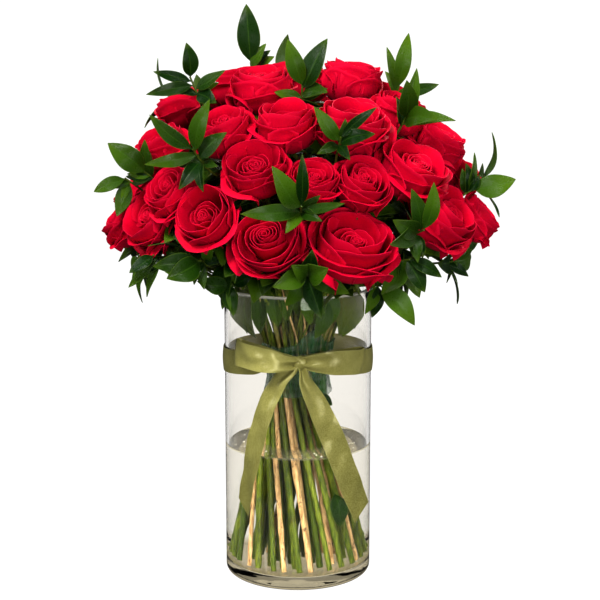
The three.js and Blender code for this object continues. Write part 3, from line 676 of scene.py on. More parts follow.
# ---- stems ---------------------------------------------------------------------------------
def stem_routes(heads):
    """Where each stem is tied and stands."""
    random = fixed_stream(77)
    least, most = FOOT_SPREAD
    routes = [None] * len(heads)
    up_to = math.inf
    for start_at, slot, foot in STEM_RINGS:
        members = sorted((h[0], i) for i, h in enumerate(heads) if start_at <= h[1] < up_to)
        up_to = start_at
        step = 360 / len(members)
        start = sum(m[0] - step * k for k, m in enumerate(members)) / len(members)
        for k, (_, index) in enumerate(members):
            azimuth = start + step * k
            stand = azimuth + STEM_SPIRAL + FOOT_WANDER * math.sin(2.4 * index)
            spread = foot * (least + (most - least) * next(random))
            routes[index] = (polar(stand, spread, STEM_FOOT_HEIGHT),
                             polar(azimuth, slot, STEM_SLOT_HEIGHT))
    return routes


def make_rose_frame(number, row):
    azimuth, distance, height, diameter = row
    face = polar(azimuth, distance, height)
    axis = outward(face)
    scale = diameter / HEAD_SIZE
    middle = face - axis * (HEAD_DEPTH - HEAD_MIDDLE) * scale
    axis = unit(axis + UP * HEAD_LIFTS.get(number, HEAD_LIFT))
    below = HEAD_DEPTH * HEAD_STRETCH - (HEAD_DEPTH - HEAD_MIDDLE)
    return {"axis": axis, "scale": scale, "base": middle - axis * below * scale}


def bend_curve(rose, slot, shares):
    """The stem from the tie to the neck of its head."""
    rise = slot + unit(slot * [1, 1, 0]) * STEM_BEND_FLARE + UP * STEM_BEND_RISE
    neck = rose["base"] - rose["axis"] * NECK_LENGTH * rose["scale"]
    return bezier(slot, rise, neck - rose["axis"] * STEM_BEND_REACH, neck, shares)


def stem_path(rose, foot, slot, random):
    """Foot, slightly bowed shaft, tie, curve to the neck and calyx."""
    bow = np.cross(unit(slot - foot), UP) * random.uniform(-STEM_BOW, STEM_BOW)
    lower = [foot + (slot - foot) * t + bow * math.sin(math.pi * t) for t in np.linspace(0, 1, SHAFT_STEPS)]
    upper = bend_curve(rose, slot, np.linspace(0.08, 1, 12))
    return np.vstack([lower, upper, rose["base"] - rose["axis"] * 1.5])


def knobs(count, random):
    """Where along a stem its old leaf scars swell it, as radius factors."""
    swollen = [random.random() < LEAF_SCARS["share"] for _ in range(count - 2)]
    return np.where([False, *swollen, False], LEAF_SCARS["swelling"], 1.0)


CUP_HEIGHTS = (-7, -4.5, -1.5, 1.5, 3.5)
CUP_RADII = (2.3, 4.4, 6.2, 6.6, 4.0)


def add_sepals(shape, rose, random):
    """The green cup under a head, with its five pointed sepals folded back."""
    base, axis, scale = rose["base"], rose["axis"], rose["scale"]
    path = [base + axis * height * scale for height in CUP_HEIGHTS]
    shape.tube(path, [radius * scale for radius in CUP_RADII], 12, (0, 0, 0.3))
    side, other = sides_of(axis)
    first = random.uniform(0, 72)
    v = np.linspace(0, 1, 7)[:, None, None]
    u = np.linspace(-1, 1, 5)[None, :, None]
    half = scale * 3.6 * (1 - v ** 1.6) * (0.75 + 0.5 * v) + 0.15
    for k in range(5):
        out = turned(side, other, math.radians(first + 72 * k))
        length = scale * random.uniform(20, 26)
        droop = random.uniform(0.15, 0.95)
        centre = base + out * (5.5 * scale + length * v * (1 - 0.25 * v * droop))
        centre = centre + axis * (1.5 * scale + length * (0.30 * v - droop * v * v))
        grid = centre + np.cross(out, axis) * half * u + axis * scale * 0.9 * u * u
        shape.shell(grid, 0.6, (0, 0, 0.2))


def make_stems(roses, routes):
    random = Random(311)
    for number, (rose, route) in enumerate(zip(roses, routes), 1):
        path = stem_path(rose, *route, random)
        count = len(path)
        woody = number in WOODY_STEMS
        radius = STEM_RADIUS * random.uniform(0.82, 1.04)
        radii = np.full(count, radius)
        radii[SHAFT_STEPS:] = np.linspace(radius * 0.8, NECK_RADIUS * rose["scale"], count - SHAFT_STEPS)
        radii = radii * knobs(count, random) * (WOODY_SLIMNESS if woody else 1)
        bark = 1 - smooth(SHAFT_STEPS - 4, SHAFT_STEPS + 3, np.arange(count)) if woody else 0
        shape = Shape()
        shape.tube(path, radii, 9, stacked(np.zeros(count), bark, random.random()))
        add_sepals(shape, rose, random)
        shape.green(f"rose_stem_{number:02d}", STEM)
    for number, (foot, slot) in enumerate(routes[len(roses):], 1):
        path = [foot + (slot - foot) * t for t in np.linspace(0, 1, SHAFT_STEPS)]
        path += [slot + UP * 14 + slot * [0.12, 0.12, 0], slot + UP * 34 + slot * [0.4, 0.4, 0]]
        radii = RUSCUS_STEM_RADIUS * knobs(len(path), random)
        shape = Shape()
        shape.tube(path, radii, 8, (0, 0.9, random.random()))
        shape.green(f"ruscus_stem_{number}", STEM)


# ---- heads ---------------------------------------------------------------------------------
HEAD_SIZE = 66  # the layers below are drawn for a head of this diameter
HEAD_DEPTH = 42
HEAD_MIDDLE = 27  # heads are turned up round this height on their axis
HEAD_STRETCH = 1.2  # the layers below are drawn out this much along the axis
HEAD_LIFT = 0.35  # how far up, and for single heads by number
HEAD_LIFTS = {1: 0.8, 2: 0.12, 3: 0.2, 4: 0.2, 5: 0.25, 6: 0.1, 7: 0.3, 8: 0.2, 10: 0.3, 12: 0.7}
# From the outside in: [radius of the cup, height of the rim, petals, half width in degrees,
# outward curl of the rim, how far the sides of the rim fall, ruffle, how far one side tucks
# in behind the next petal]
PETAL_LAYERS = [
    [30.6, 34.0, 5, 54, 5.2, 0.20, 1.1, 0.05],
    [29.0, 39.0, 4, 66, 3.6, 0.18, 1.1, 0.05],
    [26.6, 42.0, 4, 64, 2.3, 0.16, 1.1, 0.06],
    [22.6, 42.4, 3, 82, 1.4, 0.15, 1.1, 0.08],
    [17.2, 41.8, 3, 78, 1.1, 0.16, 1.0, 0.13],
    [13.6, 41.4, 3, 78, 0.8, 0.16, 0.8, 0.14],
    [10.4, 41.0, 3, 80, 0.5, 0.15, 0.6, 0.14],
    [7.6, 40.6, 2, 112, 0.2, 0.14, 0.5, 0.15],
    [5.0, 40.4, 2, 118, 0.1, 0.12, 0.3, 0.15],
    [2.6, 40.0, 2, 128, 0.0, 0.10, 0.1, 0.15],
]
LAYER_TURN = 41
LAYERS_LEFT_OUT = [(3,), (5,), (3, 6), (5, 7), (4,), (6,)]  # for a less even bloom
HEART = 4  # the layer where the tight heart of the bloom starts
OUTER_ROWS = np.array([0, 0.16, 0.32, 0.47, 0.61, 0.73, 0.83, 0.91, 0.965, 1.0])
INNER_ROWS = np.array([0, 0.35, 0.6, 0.76, 0.88, 0.96, 1.0])
OUTER_COLUMNS = np.linspace(-1, 1, 13)
INNER_COLUMNS = np.linspace(-1, 1, 11)
PETAL_THICKNESS = 0.5
PETAL_POINT = 0.075
WIDEST_CUP = 33  # the radius at which a petal is wholly an outer one
HANGING = 6.5  # how far a loose guard petal hangs, and how many do
HANGING_SHARE = 0.3
# How the heads that the photograph shows well differ from the rest
BLOOMS = {
    1: {"open": 0.9, "well": 10.0, "heart": 0.9, "hang": 3.0, "without": (5,), "shift": (-3, 3)},
    2: {"open": 0.4, "well": 1.0, "heart": 1.0, "without": (3,)},
    3: {"open": 0.4, "well": 11.0, "heart": 0.9},
    4: {"open": 0.5, "well": 8.0, "heart": 0.95},
    6: {"open": 1.3, "well": 6.0},
    7: {"open": 0.1, "well": 5.0},
    8: {"open": 0.1, "well": 1.0, "heart": 1.05},
    9: {"open": 0.8, "well": 6.0},
    10: {"open": 0.2, "well": 8.0},
    12: {"open": 0.2, "well": 9.0},
    13: {"open": 0.4, "well": 5.0},
    14: {"open": 0.5, "well": 8.0},
}


def petal_grid(number, turn, bloom, random):
    """One petal as a grid of points round the head's own axis, its marks and how near each
    point is to the petal's border."""
    radius, rim, _, half, curl, drop, ruffle, tuck = PETAL_LAYERS[number]
    heart = number >= HEART
    rows, columns = (INNER_ROWS, INNER_COLUMNS) if heart else (OUTER_ROWS, OUTER_COLUMNS)
    u, v = np.meshgrid(columns, rows)
    share = radius / WIDEST_CUP
    flare = bloom["open"] * smooth(0.7, 0.97, share)
    splay = flare * smooth(0.86, 0.93, share)
    radius = radius * (0.98 + 0.03 * flare + 0.05 * splay) + random.uniform(-0.8, 0.8) * (0.3 + share)
    rim = rim - 3.0 * flare - 4.0 * splay + random.uniform(-1.6, 1.6) * (0.4 + share)
    if heart:
        radius = radius * bloom["heart"]
        rim = rim - bloom["well"] * (0.75 + 0.5 * share)
    point = PETAL_POINT * smooth(0.75, 1, share)
    s = v * (1 - drop * np.abs(u) ** 3.5) + point * np.exp(-(u / 0.22) ** 2) * v ** 3
    # the side of the cup, from the base out and up
    ends = [(3.0 + 2.0 * share, 1.5), (radius * 1.10, 2.0 + 5.0 * share),
            (radius * (0.93 + 0.09 * share), rim * 0.62),
            (radius * (0.88 + 0.06 * share + 0.06 * flare), rim)]
    weights = [(1 - s) ** 3, 3 * s * (1 - s) ** 2, 3 * s ** 2 * (1 - s), s ** 3]
    r, z = (sum(weight * end[k] for weight, end in zip(weights, ends)) for k in (0, 1))
    # the rim rolls outward, less at the tip, which makes the tip look pointed
    border = np.maximum(v, np.abs(u) ** 3 * smooth(0.3, 0.75, v))
    e = smooth(0.70, 1.0, border)
    tip = 1 + 0.22 * np.exp(-(u / 0.2) ** 2)
    curl = curl * (1 + 0.5 * flare) * random.uniform(0.65, 1.35)
    r = r + curl * e ** 1.5 * tip
    z = z - curl * 0.75 * e ** 2.5 * tip
    # now and then a guard petal hangs outward
    hangs = bloom["hang"] if number == 0 and random.random() < HANGING_SHARE else 0.0
    pull = hangs * (1 - 0.75 * np.abs(u) ** 1.6)
    r = r + pull * 0.8 * v ** 2.5
    z = z - pull * v ** 3
    # one side in and one side out, so that the petals of a layer lap like tiles
    r = r * (1 + bloom["turn"] * tuck * u * smooth(0.1, 0.5, v))
    # waves of the rim, small notches, and a lean of the whole petal
    phase = random.uniform(*PHASES)
    wave = ruffle * v ** 3
    r = r + wave * np.sin(3.6 * u + phase) + random.uniform(-0.03, 0.04) * (z - 20) * share
    z = z + wave * 0.8 * np.sin(4.4 * u + 1.7 * phase)
    z = z + 0.22 * np.sin(13 * u + 3 * phase) * v ** 8 * (0.4 + share)
    r = r + 0.8 * share * v * (u ** 2 - 0.3)
    angle = math.radians(turn) + np.radians(half * random.uniform(0.94, 1.06)) * u
    r = r * (1 + bloom["oval"] * (1.3 - share) * np.cos(2 * (angle - bloom["along"])))
    inward = (1 - share) * v
    x = r * np.cos(angle) + bloom["shift"][0] * inward
    y = r * np.sin(angle) + bloom["shift"][1] * inward
    return stacked(x, y, z), stacked(u * half / 45, v, random.random()), border


def make_head(number, rose):
    random = Random(972 + 37 * number)
    bloom = {
        "open": random.uniform(0.0, 0.7), "well": random.uniform(0.0, 5.0),
        "heart": random.uniform(0.8, 1.08), "turn": random.choice((-1, 1)),
        "oval": random.uniform(0.02, 0.16), "along": random.uniform(0, 3.14),
        "shift": (random.uniform(-4.5, 4.5), random.uniform(-4.5, 4.5)), "hang": HANGING,
        "without": random.choice(LAYERS_LEFT_OUT),
    }
    bloom.update(BLOOMS.get(number, {}))
    axis, scale = rose["axis"], rose["scale"]
    basis = np.stack([*sides_of(axis), axis])
    shape = Shape()
    edges = []
    first = random.uniform(0, 72)
    for layer, (_, _, petals, *_) in enumerate(PETAL_LAYERS):
        for k in range(0 if layer in bloom["without"] else petals):
            turn = first + LAYER_TURN * layer + 360 * k / petals + random.uniform(-7, 7)
            grid, marks, border = petal_grid(layer, turn, bloom, random)
            edges.append(np.tile(border.ravel(), 2))
            points = rose["base"] + (grid * [scale, scale, scale * HEAD_STRETCH]) @ basis
            shape.shell(points, PETAL_THICKNESS * scale, marks)
    obj = shape.object(f"rose_bloom_{number:02d}", [PETAL])
    store(obj.data, "edge", np.concatenate(edges))
    place_piece(obj, "petals", f"rose_{number:02d}")


# ---- leaves --------------------------------------------------------------------------------
LEAF_THICKNESS = 0.6
LEAF_CLEARANCE = 0.3
LEAF_SPACING = 4
LEAF_STALK = 0.06  # as a share of the leaf's length
SPRAY_SLIMNESS = 0.88
SMALL_LEAVES = {"count": 3, "length": 25, "width": 10}
LEAF_LEANS = {"most": 3, "step": 0.15}
LEAF_OUTLINE = [[0.17, 0.26], [0.34, 0.5], [0.51, 0.44], [0.68, 0.36], [0.84, 0.18], [1, 0]]
LEAF_ROWS = np.concatenate([[0, 0.045], np.linspace(0.09, 1, 13)])
LEAF_COLUMNS = np.linspace(-1, 1, 9)
# How far single leaves vary: arch, hook of the tip, fold along the midrib, roll, twist, sway
# to a side, ripple of the edge and where it starts
LEAF_RANGES = [(0.05, 0.13), (-0.14, 0.04), (0.16, 0.38), (-0.3, 0.3), (-0.5, 0.5), (-0.06, 0.06),
               (0.2, 0.7), (0, 6)]
HEAD_OUTLINE = np.array([[7, 0], [30.5, 20], [36.5, 34.5], [30, 41.5], [0, 44.5]], float)
# The rose stems' own leaves, high up and lower down each stem: how many, how far under the
# head, and how high a head stands at least to have them
UNDER_LEAVES = [{"count": 6, "depth": (8, 20), "lowest": 0}, {"count": 4, "depth": (28, 50), "lowest": 400}]
UNDER_LEAF = {"length": 38, "width": 20}
UNDER_TURN = 137.5  # degrees from one leaf to the next round a stem
# Leaves that close the view of the stems between the heads and the rim of the vase
RIM_LEAVES = {"count": 68, "length": 38, "width": 22, "distance": (66, 146), "height": (312, 348)}
# Leaves inside the dome, which close the view down between the heads: they stand on
# ellipsoids of this radius, and this height above its middle
INNER_LEAVES = [
    {"count": 210, "radius": 128, "height": 126, "middle": 338, "length": 46, "width": 24},
    {"count": 70, "radius": 62, "height": 76, "middle": 366, "length": 30, "width": 17},
]
INNER_FOCUS = 60  # they look away from a point this far under the ellipsoid's middle
# How far the leaves of the rose stems and inside the dome stay from the heads
INNER_CLEARANCE = 1
# Leaves pressed down inside the neck of the vase: [azimuth, distance, height of the root,
# length, width, sway of the tip sideways]
NECK_FILL = [
    [-58, 58, 308, 58, 30, 4], [-44, 53, 306, 52, 22, -6], [-30, 50, 304, 40, 18, 5],
    [-8, 50, 305, 34, 18, -4], [8, 52, 306, 38, 19, 5], [22, 51, 304, 36, 20, -2],
    [36, 54, 305, 44, 21, -5], [48, 57, 307, 54, 26, 3], [60, 59, 307, 56, 28, -2],
    [84, 58, 304, 38, 17, 3], [112, 56, 304, 36, 19, -4], [130, 58, 306, 44, 20, 3],
    [148, 54, 303, 34, 18, -4], [166, 54, 303, 34, 17, 3], [-176, 56, 304, 38, 19, 4],
    [-156, 58, 305, 40, 19, -3], [-134, 58, 304, 40, 19, 4], [-112, 56, 303, 36, 18, 3],
    [-92, 58, 305, 40, 18, -4], [4, 38, 314, 44, 26, 0], [-24, 36, 314, 44, 26, 2],
    [170, 38, 314, 44, 26, 0],
]
# Thin twigs between the tie and the rim: how many, their thickest radius, and the distance
# and height where they start and end
NECK_TWIGS = {"count": 34, "radius": 1.2, "low": (34, 232), "high": (62, 308)}
# Two leaves off their stems: one in the water, one caught beside the tie
LOOSE_LEAVES = [
    [(33, -40, 95), (0.15, 0.05, -1), 38, 18], [(20, -30, 193), (0.8, -0.1, -0.6), 18, 12],
]


def head_clearance(points, roses):
    """The least distance from points to the heads' outlines, negative inside."""
    nearest = np.full(len(points), np.inf)
    a, b = HEAD_OUTLINE[:-1], HEAD_OUTLINE[1:]
    along = b - a
    for rose in roses:
        offset = (points - rose["base"]) / rose["scale"]
        height = offset @ rose["axis"]
        radius = np.linalg.norm(offset - height[:, None] * rose["axis"], axis=1)
        height = height / HEAD_STRETCH
        q = stacked(radius, height)[:, None, :] - a
        t = np.clip((q * along).sum(2) / (along ** 2).sum(1), 0, 1)
        distance = np.linalg.norm(q - t[..., None] * along, axis=2).min(1)
        turn = along[:, 0] * q[..., 1] - along[:, 1] * q[..., 0]
        inside = (height > 0) & (turn >= 0).all(1)
        nearest = np.minimum(nearest, np.where(inside, -distance, distance) * rose["scale"])
    return nearest


def clears(spots, roses, least):
    return (head_clearance(np.array(spots), roses) > least).all()


def lean_clear(roots, wanted, out, faces, length, width, roses):
    """A leaf leans further outward, step by step, until all of it clears the heads."""
    lean = 0.0
    direction = wanted
    while lean <= LEAF_LEANS["most"]:
        direction = unit(wanted + out * lean)
        side = unit(np.cross(direction, faces))
        spots = [root + direction * along * length + side * across * width
                 for root in roots for along, half in LEAF_OUTLINE for across in (-half, 0, half)]
        if clears(spots, roses, LEAF_CLEARANCE):
            break
        lean += LEAF_LEANS["step"]
    return direction


def add_leaf(shape, root, direction, faces, length, width, random, tone=None):
    """A ruscus leaf: a pointed oval on a short stalk, arched, folded a little along its
    midrib and turned a little."""
    face = unit(faces - direction * faces.dot(direction))
    side = np.cross(direction, face)
    arch, hook, fold, roll, twist, sway, ripple, start = (random.uniform(*ends) for ends in LEAF_RANGES)
    t = LEAF_ROWS[:, None, None]
    u = LEAF_COLUMNS[None, :, None]
    bulge = np.sin(math.pi * t)
    blade = np.clip((t - LEAF_STALK) / (1 - LEAF_STALK), 0, 1)
    half = width / 2 * np.sin(math.pi * blade ** 0.78) ** 0.82
    half = np.maximum(half, np.where(t < 0.1, 0.55, 0.12))
    spine = root + length * (direction * t + face * (arch * bulge + hook * t ** 3) + side * sway * bulge)
    across = turned(side, face, roll + twist * t)
    lift = turned(face, -side, roll + twist * t)
    wave = ripple * np.sin(7 * t + start) * u * np.abs(u) * np.minimum(1, half / 5)
    drawn = random.random() ** 2
    shape.shell(spine + across * half * u + lift * (np.abs(u) * half * fold + wave), LEAF_THICKNESS,
                stacked(LEAF_COLUMNS, LEAF_ROWS[:, None], drawn if tone is None else tone))


def make_spray(name, at, leaves, seen_from, roses, bends, random):
    end = polar(*at)
    out = outward(end)
    reach = min(TWIG_REACH, 0.5 * math.hypot(end[0], end[1]))
    inner = end - out * reach
    parting = min(bends, key=lambda p: np.linalg.norm(p - inner))
    spread = LEAF_SPACING * (len(leaves) - 1)
    lowest = end + out * (TWIG_RISE - spread / 2)
    highest = end + out * (TWIG_RISE + spread / 2)
    shape = Shape()
    twig = bezier(parting, inner, end - out * reach * 0.3, highest + out, np.linspace(0, 1, 12))
    shape.tube(twig, np.linspace(TWIG_RADIUS * 1.2, TWIG_RADIUS * 0.7, 12), 7, (0, 0, 0.2), 1)
    towards = polar(seen_from, 1, 0)
    right = polar(seen_from + 90, 1, 0)
    faces = unit(towards + out * 0.5)
    grown = []
    for clock, lean, length, width in leaves:
        wanted = turned(turned(UP, right, math.radians(clock)), towards, math.radians(lean))
        direction = lean_clear([lowest, highest], wanted, out, faces, length, width, roses)
        grown.append((direction, length, width))
    grown.sort(key=lambda g: g[0].dot(out))
    for k, (direction, length, width) in enumerate(grown):
        root = lowest + out * LEAF_SPACING * k
        add_leaf(shape, root, direction, faces, length, width * SPRAY_SLIMNESS, random)
    for _ in range(SMALL_LEAVES["count"] if len(leaves) > 1 else 0):
        clock = random.uniform(0, 2 * math.pi)
        direction = unit(turned(UP, right, clock) + out * random.uniform(0.4, 1.1))
        root = lowest - out * random.uniform(0, 5)
        size = random.uniform(0.8, 1.2)
        length = SMALL_LEAVES["length"] * size
        if clears([root + direction * length * t for t in (0.5, 1.0)], roses, LEAF_CLEARANCE):
            add_leaf(shape, root, direction, faces, length, SMALL_LEAVES["width"] * size, random,
                     random.choice((0.0, 0.2, 0.9)))
    shape.green(name, LEAF, STEM)


def rule_leaves(rule, start, end, random):
    leaves = []
    for k in range(rule["count"]):
        clock = start + (end - start) * (k + 0.3 + 0.4 * next(random)) / rule["count"]
        lean = rule["lean"] + 15 * (next(random) - 0.5)
        length = rule["length"] * (0.8 + 0.4 * next(random))
        leaves.append([clock, lean, length, rule["width"] * (0.85 + 0.3 * next(random))])
    return leaves


def all_sprays():
    """Each spray's place, its leaves and the azimuth that it is looked at from."""
    random = fixed_stream(4021)
    sprays = [(at, leaves, 0) for at, leaves in FRONT_SPRAYS]
    sprays += [(at, rule_leaves(BACK_LEAVES, -180, 180, random), at[0]) for at in BACK_SPRAYS]
    for azimuth in np.linspace(COLLAR["from"], COLLAR["to"], COLLAR["count"]):
        leaves = rule_leaves(COLLAR_LEAVES, 60, 300, random)
        sprays.append(([azimuth, COLLAR["distance"], COLLAR["height"]], leaves, azimuth))
    for k, azimuth in enumerate(NECK_AZIMUTHS):
        leaf = [165 + 30 * (k % 2), 2, NECK_LEAF["length"], NECK_LEAF["width"]]
        sprays.append(([azimuth, NECK_LEAF["distance"], NECK_LEAF["height"]], [leaf], azimuth))
    return sprays


def make_greenery(roses, routes):
    random = Random(5)
    bends = [p for rose, (_, slot) in zip(roses, routes) for p in bend_curve(rose, slot, [0.35, 0.7, 1])]
    for number, (at, leaves, seen_from) in enumerate(all_sprays(), 1):
        make_spray(f"ruscus_{number:02d}", at, leaves, seen_from, roses, bends, random)


def make_under_leaves(roses):
    random = Random(21)
    for number, rose in enumerate(roses, 1):
        axis = rose["axis"]
        side, other = sides_of(axis)
        shape = Shape()
        first = random.uniform(0, 360)
        depths = [rule["depth"] for rule in UNDER_LEAVES for _ in range(rule["count"])
                  if ROSES[number - 1][2] > rule["lowest"]]
        for k, depth in enumerate(depths):
            out = turned(side, other, math.radians(first + UNDER_TURN * k + random.uniform(-20, 20)))
            root = rose["base"] - axis * random.uniform(*depth)
            direction = unit(out + axis * random.uniform(0.1, 0.55))
            size = random.uniform(0.85, 1.2)
            length = UNDER_LEAF["length"] * size
            if clears([root + direction * length * t for t in (0.5, 0.75, 1.0)], roses, INNER_CLEARANCE):
                add_leaf(shape, root, direction, axis, length, UNDER_LEAF["width"] * size, random)
        if shape.count:
            shape.green(f"rose_leaves_{number:02d}", LEAF)


def make_rim_leaves():
    random = Random(64)
    rule = RIM_LEAVES
    shape = Shape()
    for k in range(rule["count"]):
        azimuth = 360 * (k + random.uniform(-0.4, 0.4)) / rule["count"]
        share = random.random()
        ranges = (rule["distance"], rule["height"])
        root = polar(azimuth, *(low + (high - low) * share for low, high in ranges))
        out, right = polar(azimuth, 1, 0), polar(azimuth + 90, 1, 0)
        direction = unit(out * random.uniform(0.0, 0.9) + right * random.uniform(-1, 1)
                         - UP * random.uniform(-0.4, 0.45))
        size = random.uniform(0.8, 1.15)
        add_leaf(shape, root, direction, unit(out + UP * 0.6), rule["length"] * size,
                 rule["width"] * size, random)
        twig = [root, root - out * 14 - UP * 12, root * [0.45, 0.45, 1] - UP * 34]
        shape.tube(twig, [0.7, 0.9, 1.1], 6, (0, 0, 0.3), 1)
    shape.green("rim_leaves", LEAF, STEM)


def make_inner_leaves(roses, routes):
    random = Random(33)
    stems = np.vstack([bend_curve(rose, slot, np.linspace(0.3, 1, 8))
                       for rose, (_, slot) in zip(roses, routes)])
    shape = Shape()
    for rule in INNER_LEAVES:
        for k in range(rule["count"]):
            rise = (k + 0.5) / rule["count"]
            root = polar(GOLDEN_ANGLE * k, rule["radius"] * math.sqrt(1 - rise * rise),
                         rule["middle"] + rule["height"] * rise)
            out = unit(root - UP * (rule["middle"] - INNER_FOCUS))
            side = unit(np.cross(out, [0.2, 0.1, 1.0]))
            along = turned(side, np.cross(out, side), random.uniform(0, 2 * math.pi))
            direction = unit(along + out * random.uniform(0.0, 0.5))
            size = random.uniform(0.85, 1.2)
            length = rule["length"] * size
            across = np.cross(direction, out) * rule["width"] * 0.45
            spots = [root + direction * length * t + across * w
                     for t in (0.3, 0.65, 1.0) for w in (-1, 0, 1)]
            if clears(spots, roses, INNER_CLEARANCE):
                add_leaf(shape, root, direction, out, length, rule["width"] * size, random)
                stem = stems[np.argmin(np.linalg.norm(stems - root, axis=1))]
                twig = [root, (root + stem) / 2 - out * 3, stem]
                shape.tube(twig, [0.7, 0.8, 0.9], 6, (0, 0, 0.2), 1)
    shape.green("inner_leaves", LEAF, STEM)


def make_neck_fill():
    random = Random(8)
    for number, (azimuth, distance, height, length, width, sway) in enumerate(NECK_FILL, 1):
        root = polar(azimuth, distance, height)
        out, right = polar(azimuth, 1, 0), polar(azimuth + 90, 1, 0)
        direction = unit(right * sway / length - UP - out * 0.06)
        middle = 0 if abs(azimuth) < 90 else math.copysign(180, azimuth)
        faces = polar(middle + (azimuth - middle) * 0.4, 1, 0)
        # painted light and shade: the leaves at the front of the neck are painted lighter, and those round
        # the sides take the darker, shaded copy of the leaf colours
        lit_front = abs(azimuth) < 45
        tone = random.uniform(0.6, 1.0) if lit_front else random.uniform(0.2, 0.7)
        shape = Shape()
        add_leaf(shape, root, direction, faces, length, width, random, tone)
        above = [root - direction * 0.5, root + UP * 10 + out * 4, root + UP * 20 + out * 14]
        shape.tube(above, [1.1, 1.1, 0.9], 7, (0, 0, 0.2), 1)
        shape.green(f"neck_leaf_{number:02d}", LEAF if lit_front else SHADED_NECK_LEAF, STEM)


def make_neck_twigs():
    random = Random(19)
    rule = NECK_TWIGS
    shape = Shape()
    for k in range(rule["count"]):
        azimuth = 360 * (k + random.uniform(-0.5, 0.5)) / rule["count"]
        foot = polar(azimuth + random.uniform(-25, 25), *rule["low"])
        head = polar(azimuth, *rule["high"]) * [1, 1, random.uniform(0.98, 1.03)]
        bulge = polar(azimuth, 5, 0) * random.uniform(-1, 1)
        path = bezier(foot, foot + UP * 24, (foot + head) / 2 + bulge, head, np.linspace(0, 1, 9))
        radius = rule["radius"] * random.uniform(0.6, 1)
        shape.tube(path, np.full(9, radius), 6, (0, random.choice((0.0, 0.3, 0.9)), random.random()))
    shape.green("neck_twigs", STEM)


def make_loose_leaves():
    random = Random(3)
    shape = Shape()
    for root, direction, length, width in LOOSE_LEAVES:
        add_leaf(shape, np.array(root, float), unit(np.array(direction, float)),
                 np.array([0.2, -1.0, 0.2]), length, width, random, 0.1)
    shape.green("loose_leaves", LEAF)


# ---- film round the stems ------------------------------------------------------------------
def make_film():
    """Stretched film, drawn in between the stems that it holds, with a torn upper edge."""
    around, rows = 168, 34
    a = np.arange(around) * 2 * math.pi / around
    t = np.linspace(0, 1, rows)[:, None]
    top = FILM_TOP + 2.5 * np.sin(a + 0.6) + 1.5 * np.sin(5 * a + 1)
    top = top + FILM_FLAP["height"] * np.exp(-((a - FILM_FLAP["at"]) / FILM_FLAP["width"]) ** 2)
    z = FILM_BOTTOM + (top - FILM_BOTTOM) * t + 0.8 * np.sin(5 * a) * (1 - t)
    spiral = a - 0.0045 * (z - WAIST_HEIGHT)
    lobes = 1.5 * np.abs(np.cos(13.5 * spiral)) - 0.7 + 0.35 * np.cos(11 * spiral + 2)
    lobes = lobes + 0.5 * t * np.abs(np.sin(31 * a + 0.04 * z))
    drawn = 0.5 * np.sin(0.55 * z + 3 * np.sin(a * 2)) * np.cos(6 * a)
    r = np.interp(z, BUNDLE_HEIGHTS, BUNDLE_RADII) + 0.6 + lobes * (0.6 + 0.4 * t) + 0.3 * drawn
    outer, inner = (stacked(q * np.sin(a), -q * np.cos(a), z) for q in (r, r - FILM_THICKNESS))
    at = np.arange(2 * rows * around).reshape(2 * rows, around)
    shape = Shape()
    shape.add(np.vstack([outer, inner[::-1]]).reshape(-1, 3), [ring_faces(np.vstack([at, at[:1]]))],
              (0, 0, 0))
    place_piece(shape.object("stretch_film", [FILM]), "tape", "binding_tape")


# ---- ribbon --------------------------------------------------------------------------------
STRIP_STEPS = 72
BAND_STEPS = 145
# how much painted shade darkens the band all round, and each tail from its top to its end
BAND_PAINTED_SHADE = (0.25, 0.25)
TAIL_PAINTED_SHADE = (0.1, 1.1)
DENT_SIZE = {"length": 0.06, "width": 0.45}  # shares of the strip's length and half width
# Where each strip is dented: [share of its length, place across from -1 to 1, depth]
DENTS = {
    "ribbon_band": [],
    "ribbon_loop_left": [[0.31, 0.1, 2.6], [0.13, -0.2, 2.2], [0.22, -0.7, 1.2]],
    "ribbon_loop_right": [[0.14, 0.2, 2.4], [0.3, -0.5, 1.2]],
    "ribbon_tail_left": [[0.16, -0.3, 2.4], [0.3, 0.6, 1.6], [0.62, -0.4, 1.2]],
    "ribbon_tail_right": [[0.14, 0.4, 2.6], [0.27, -0.6, 1.6], [0.55, 0.5, 1.4]],
}


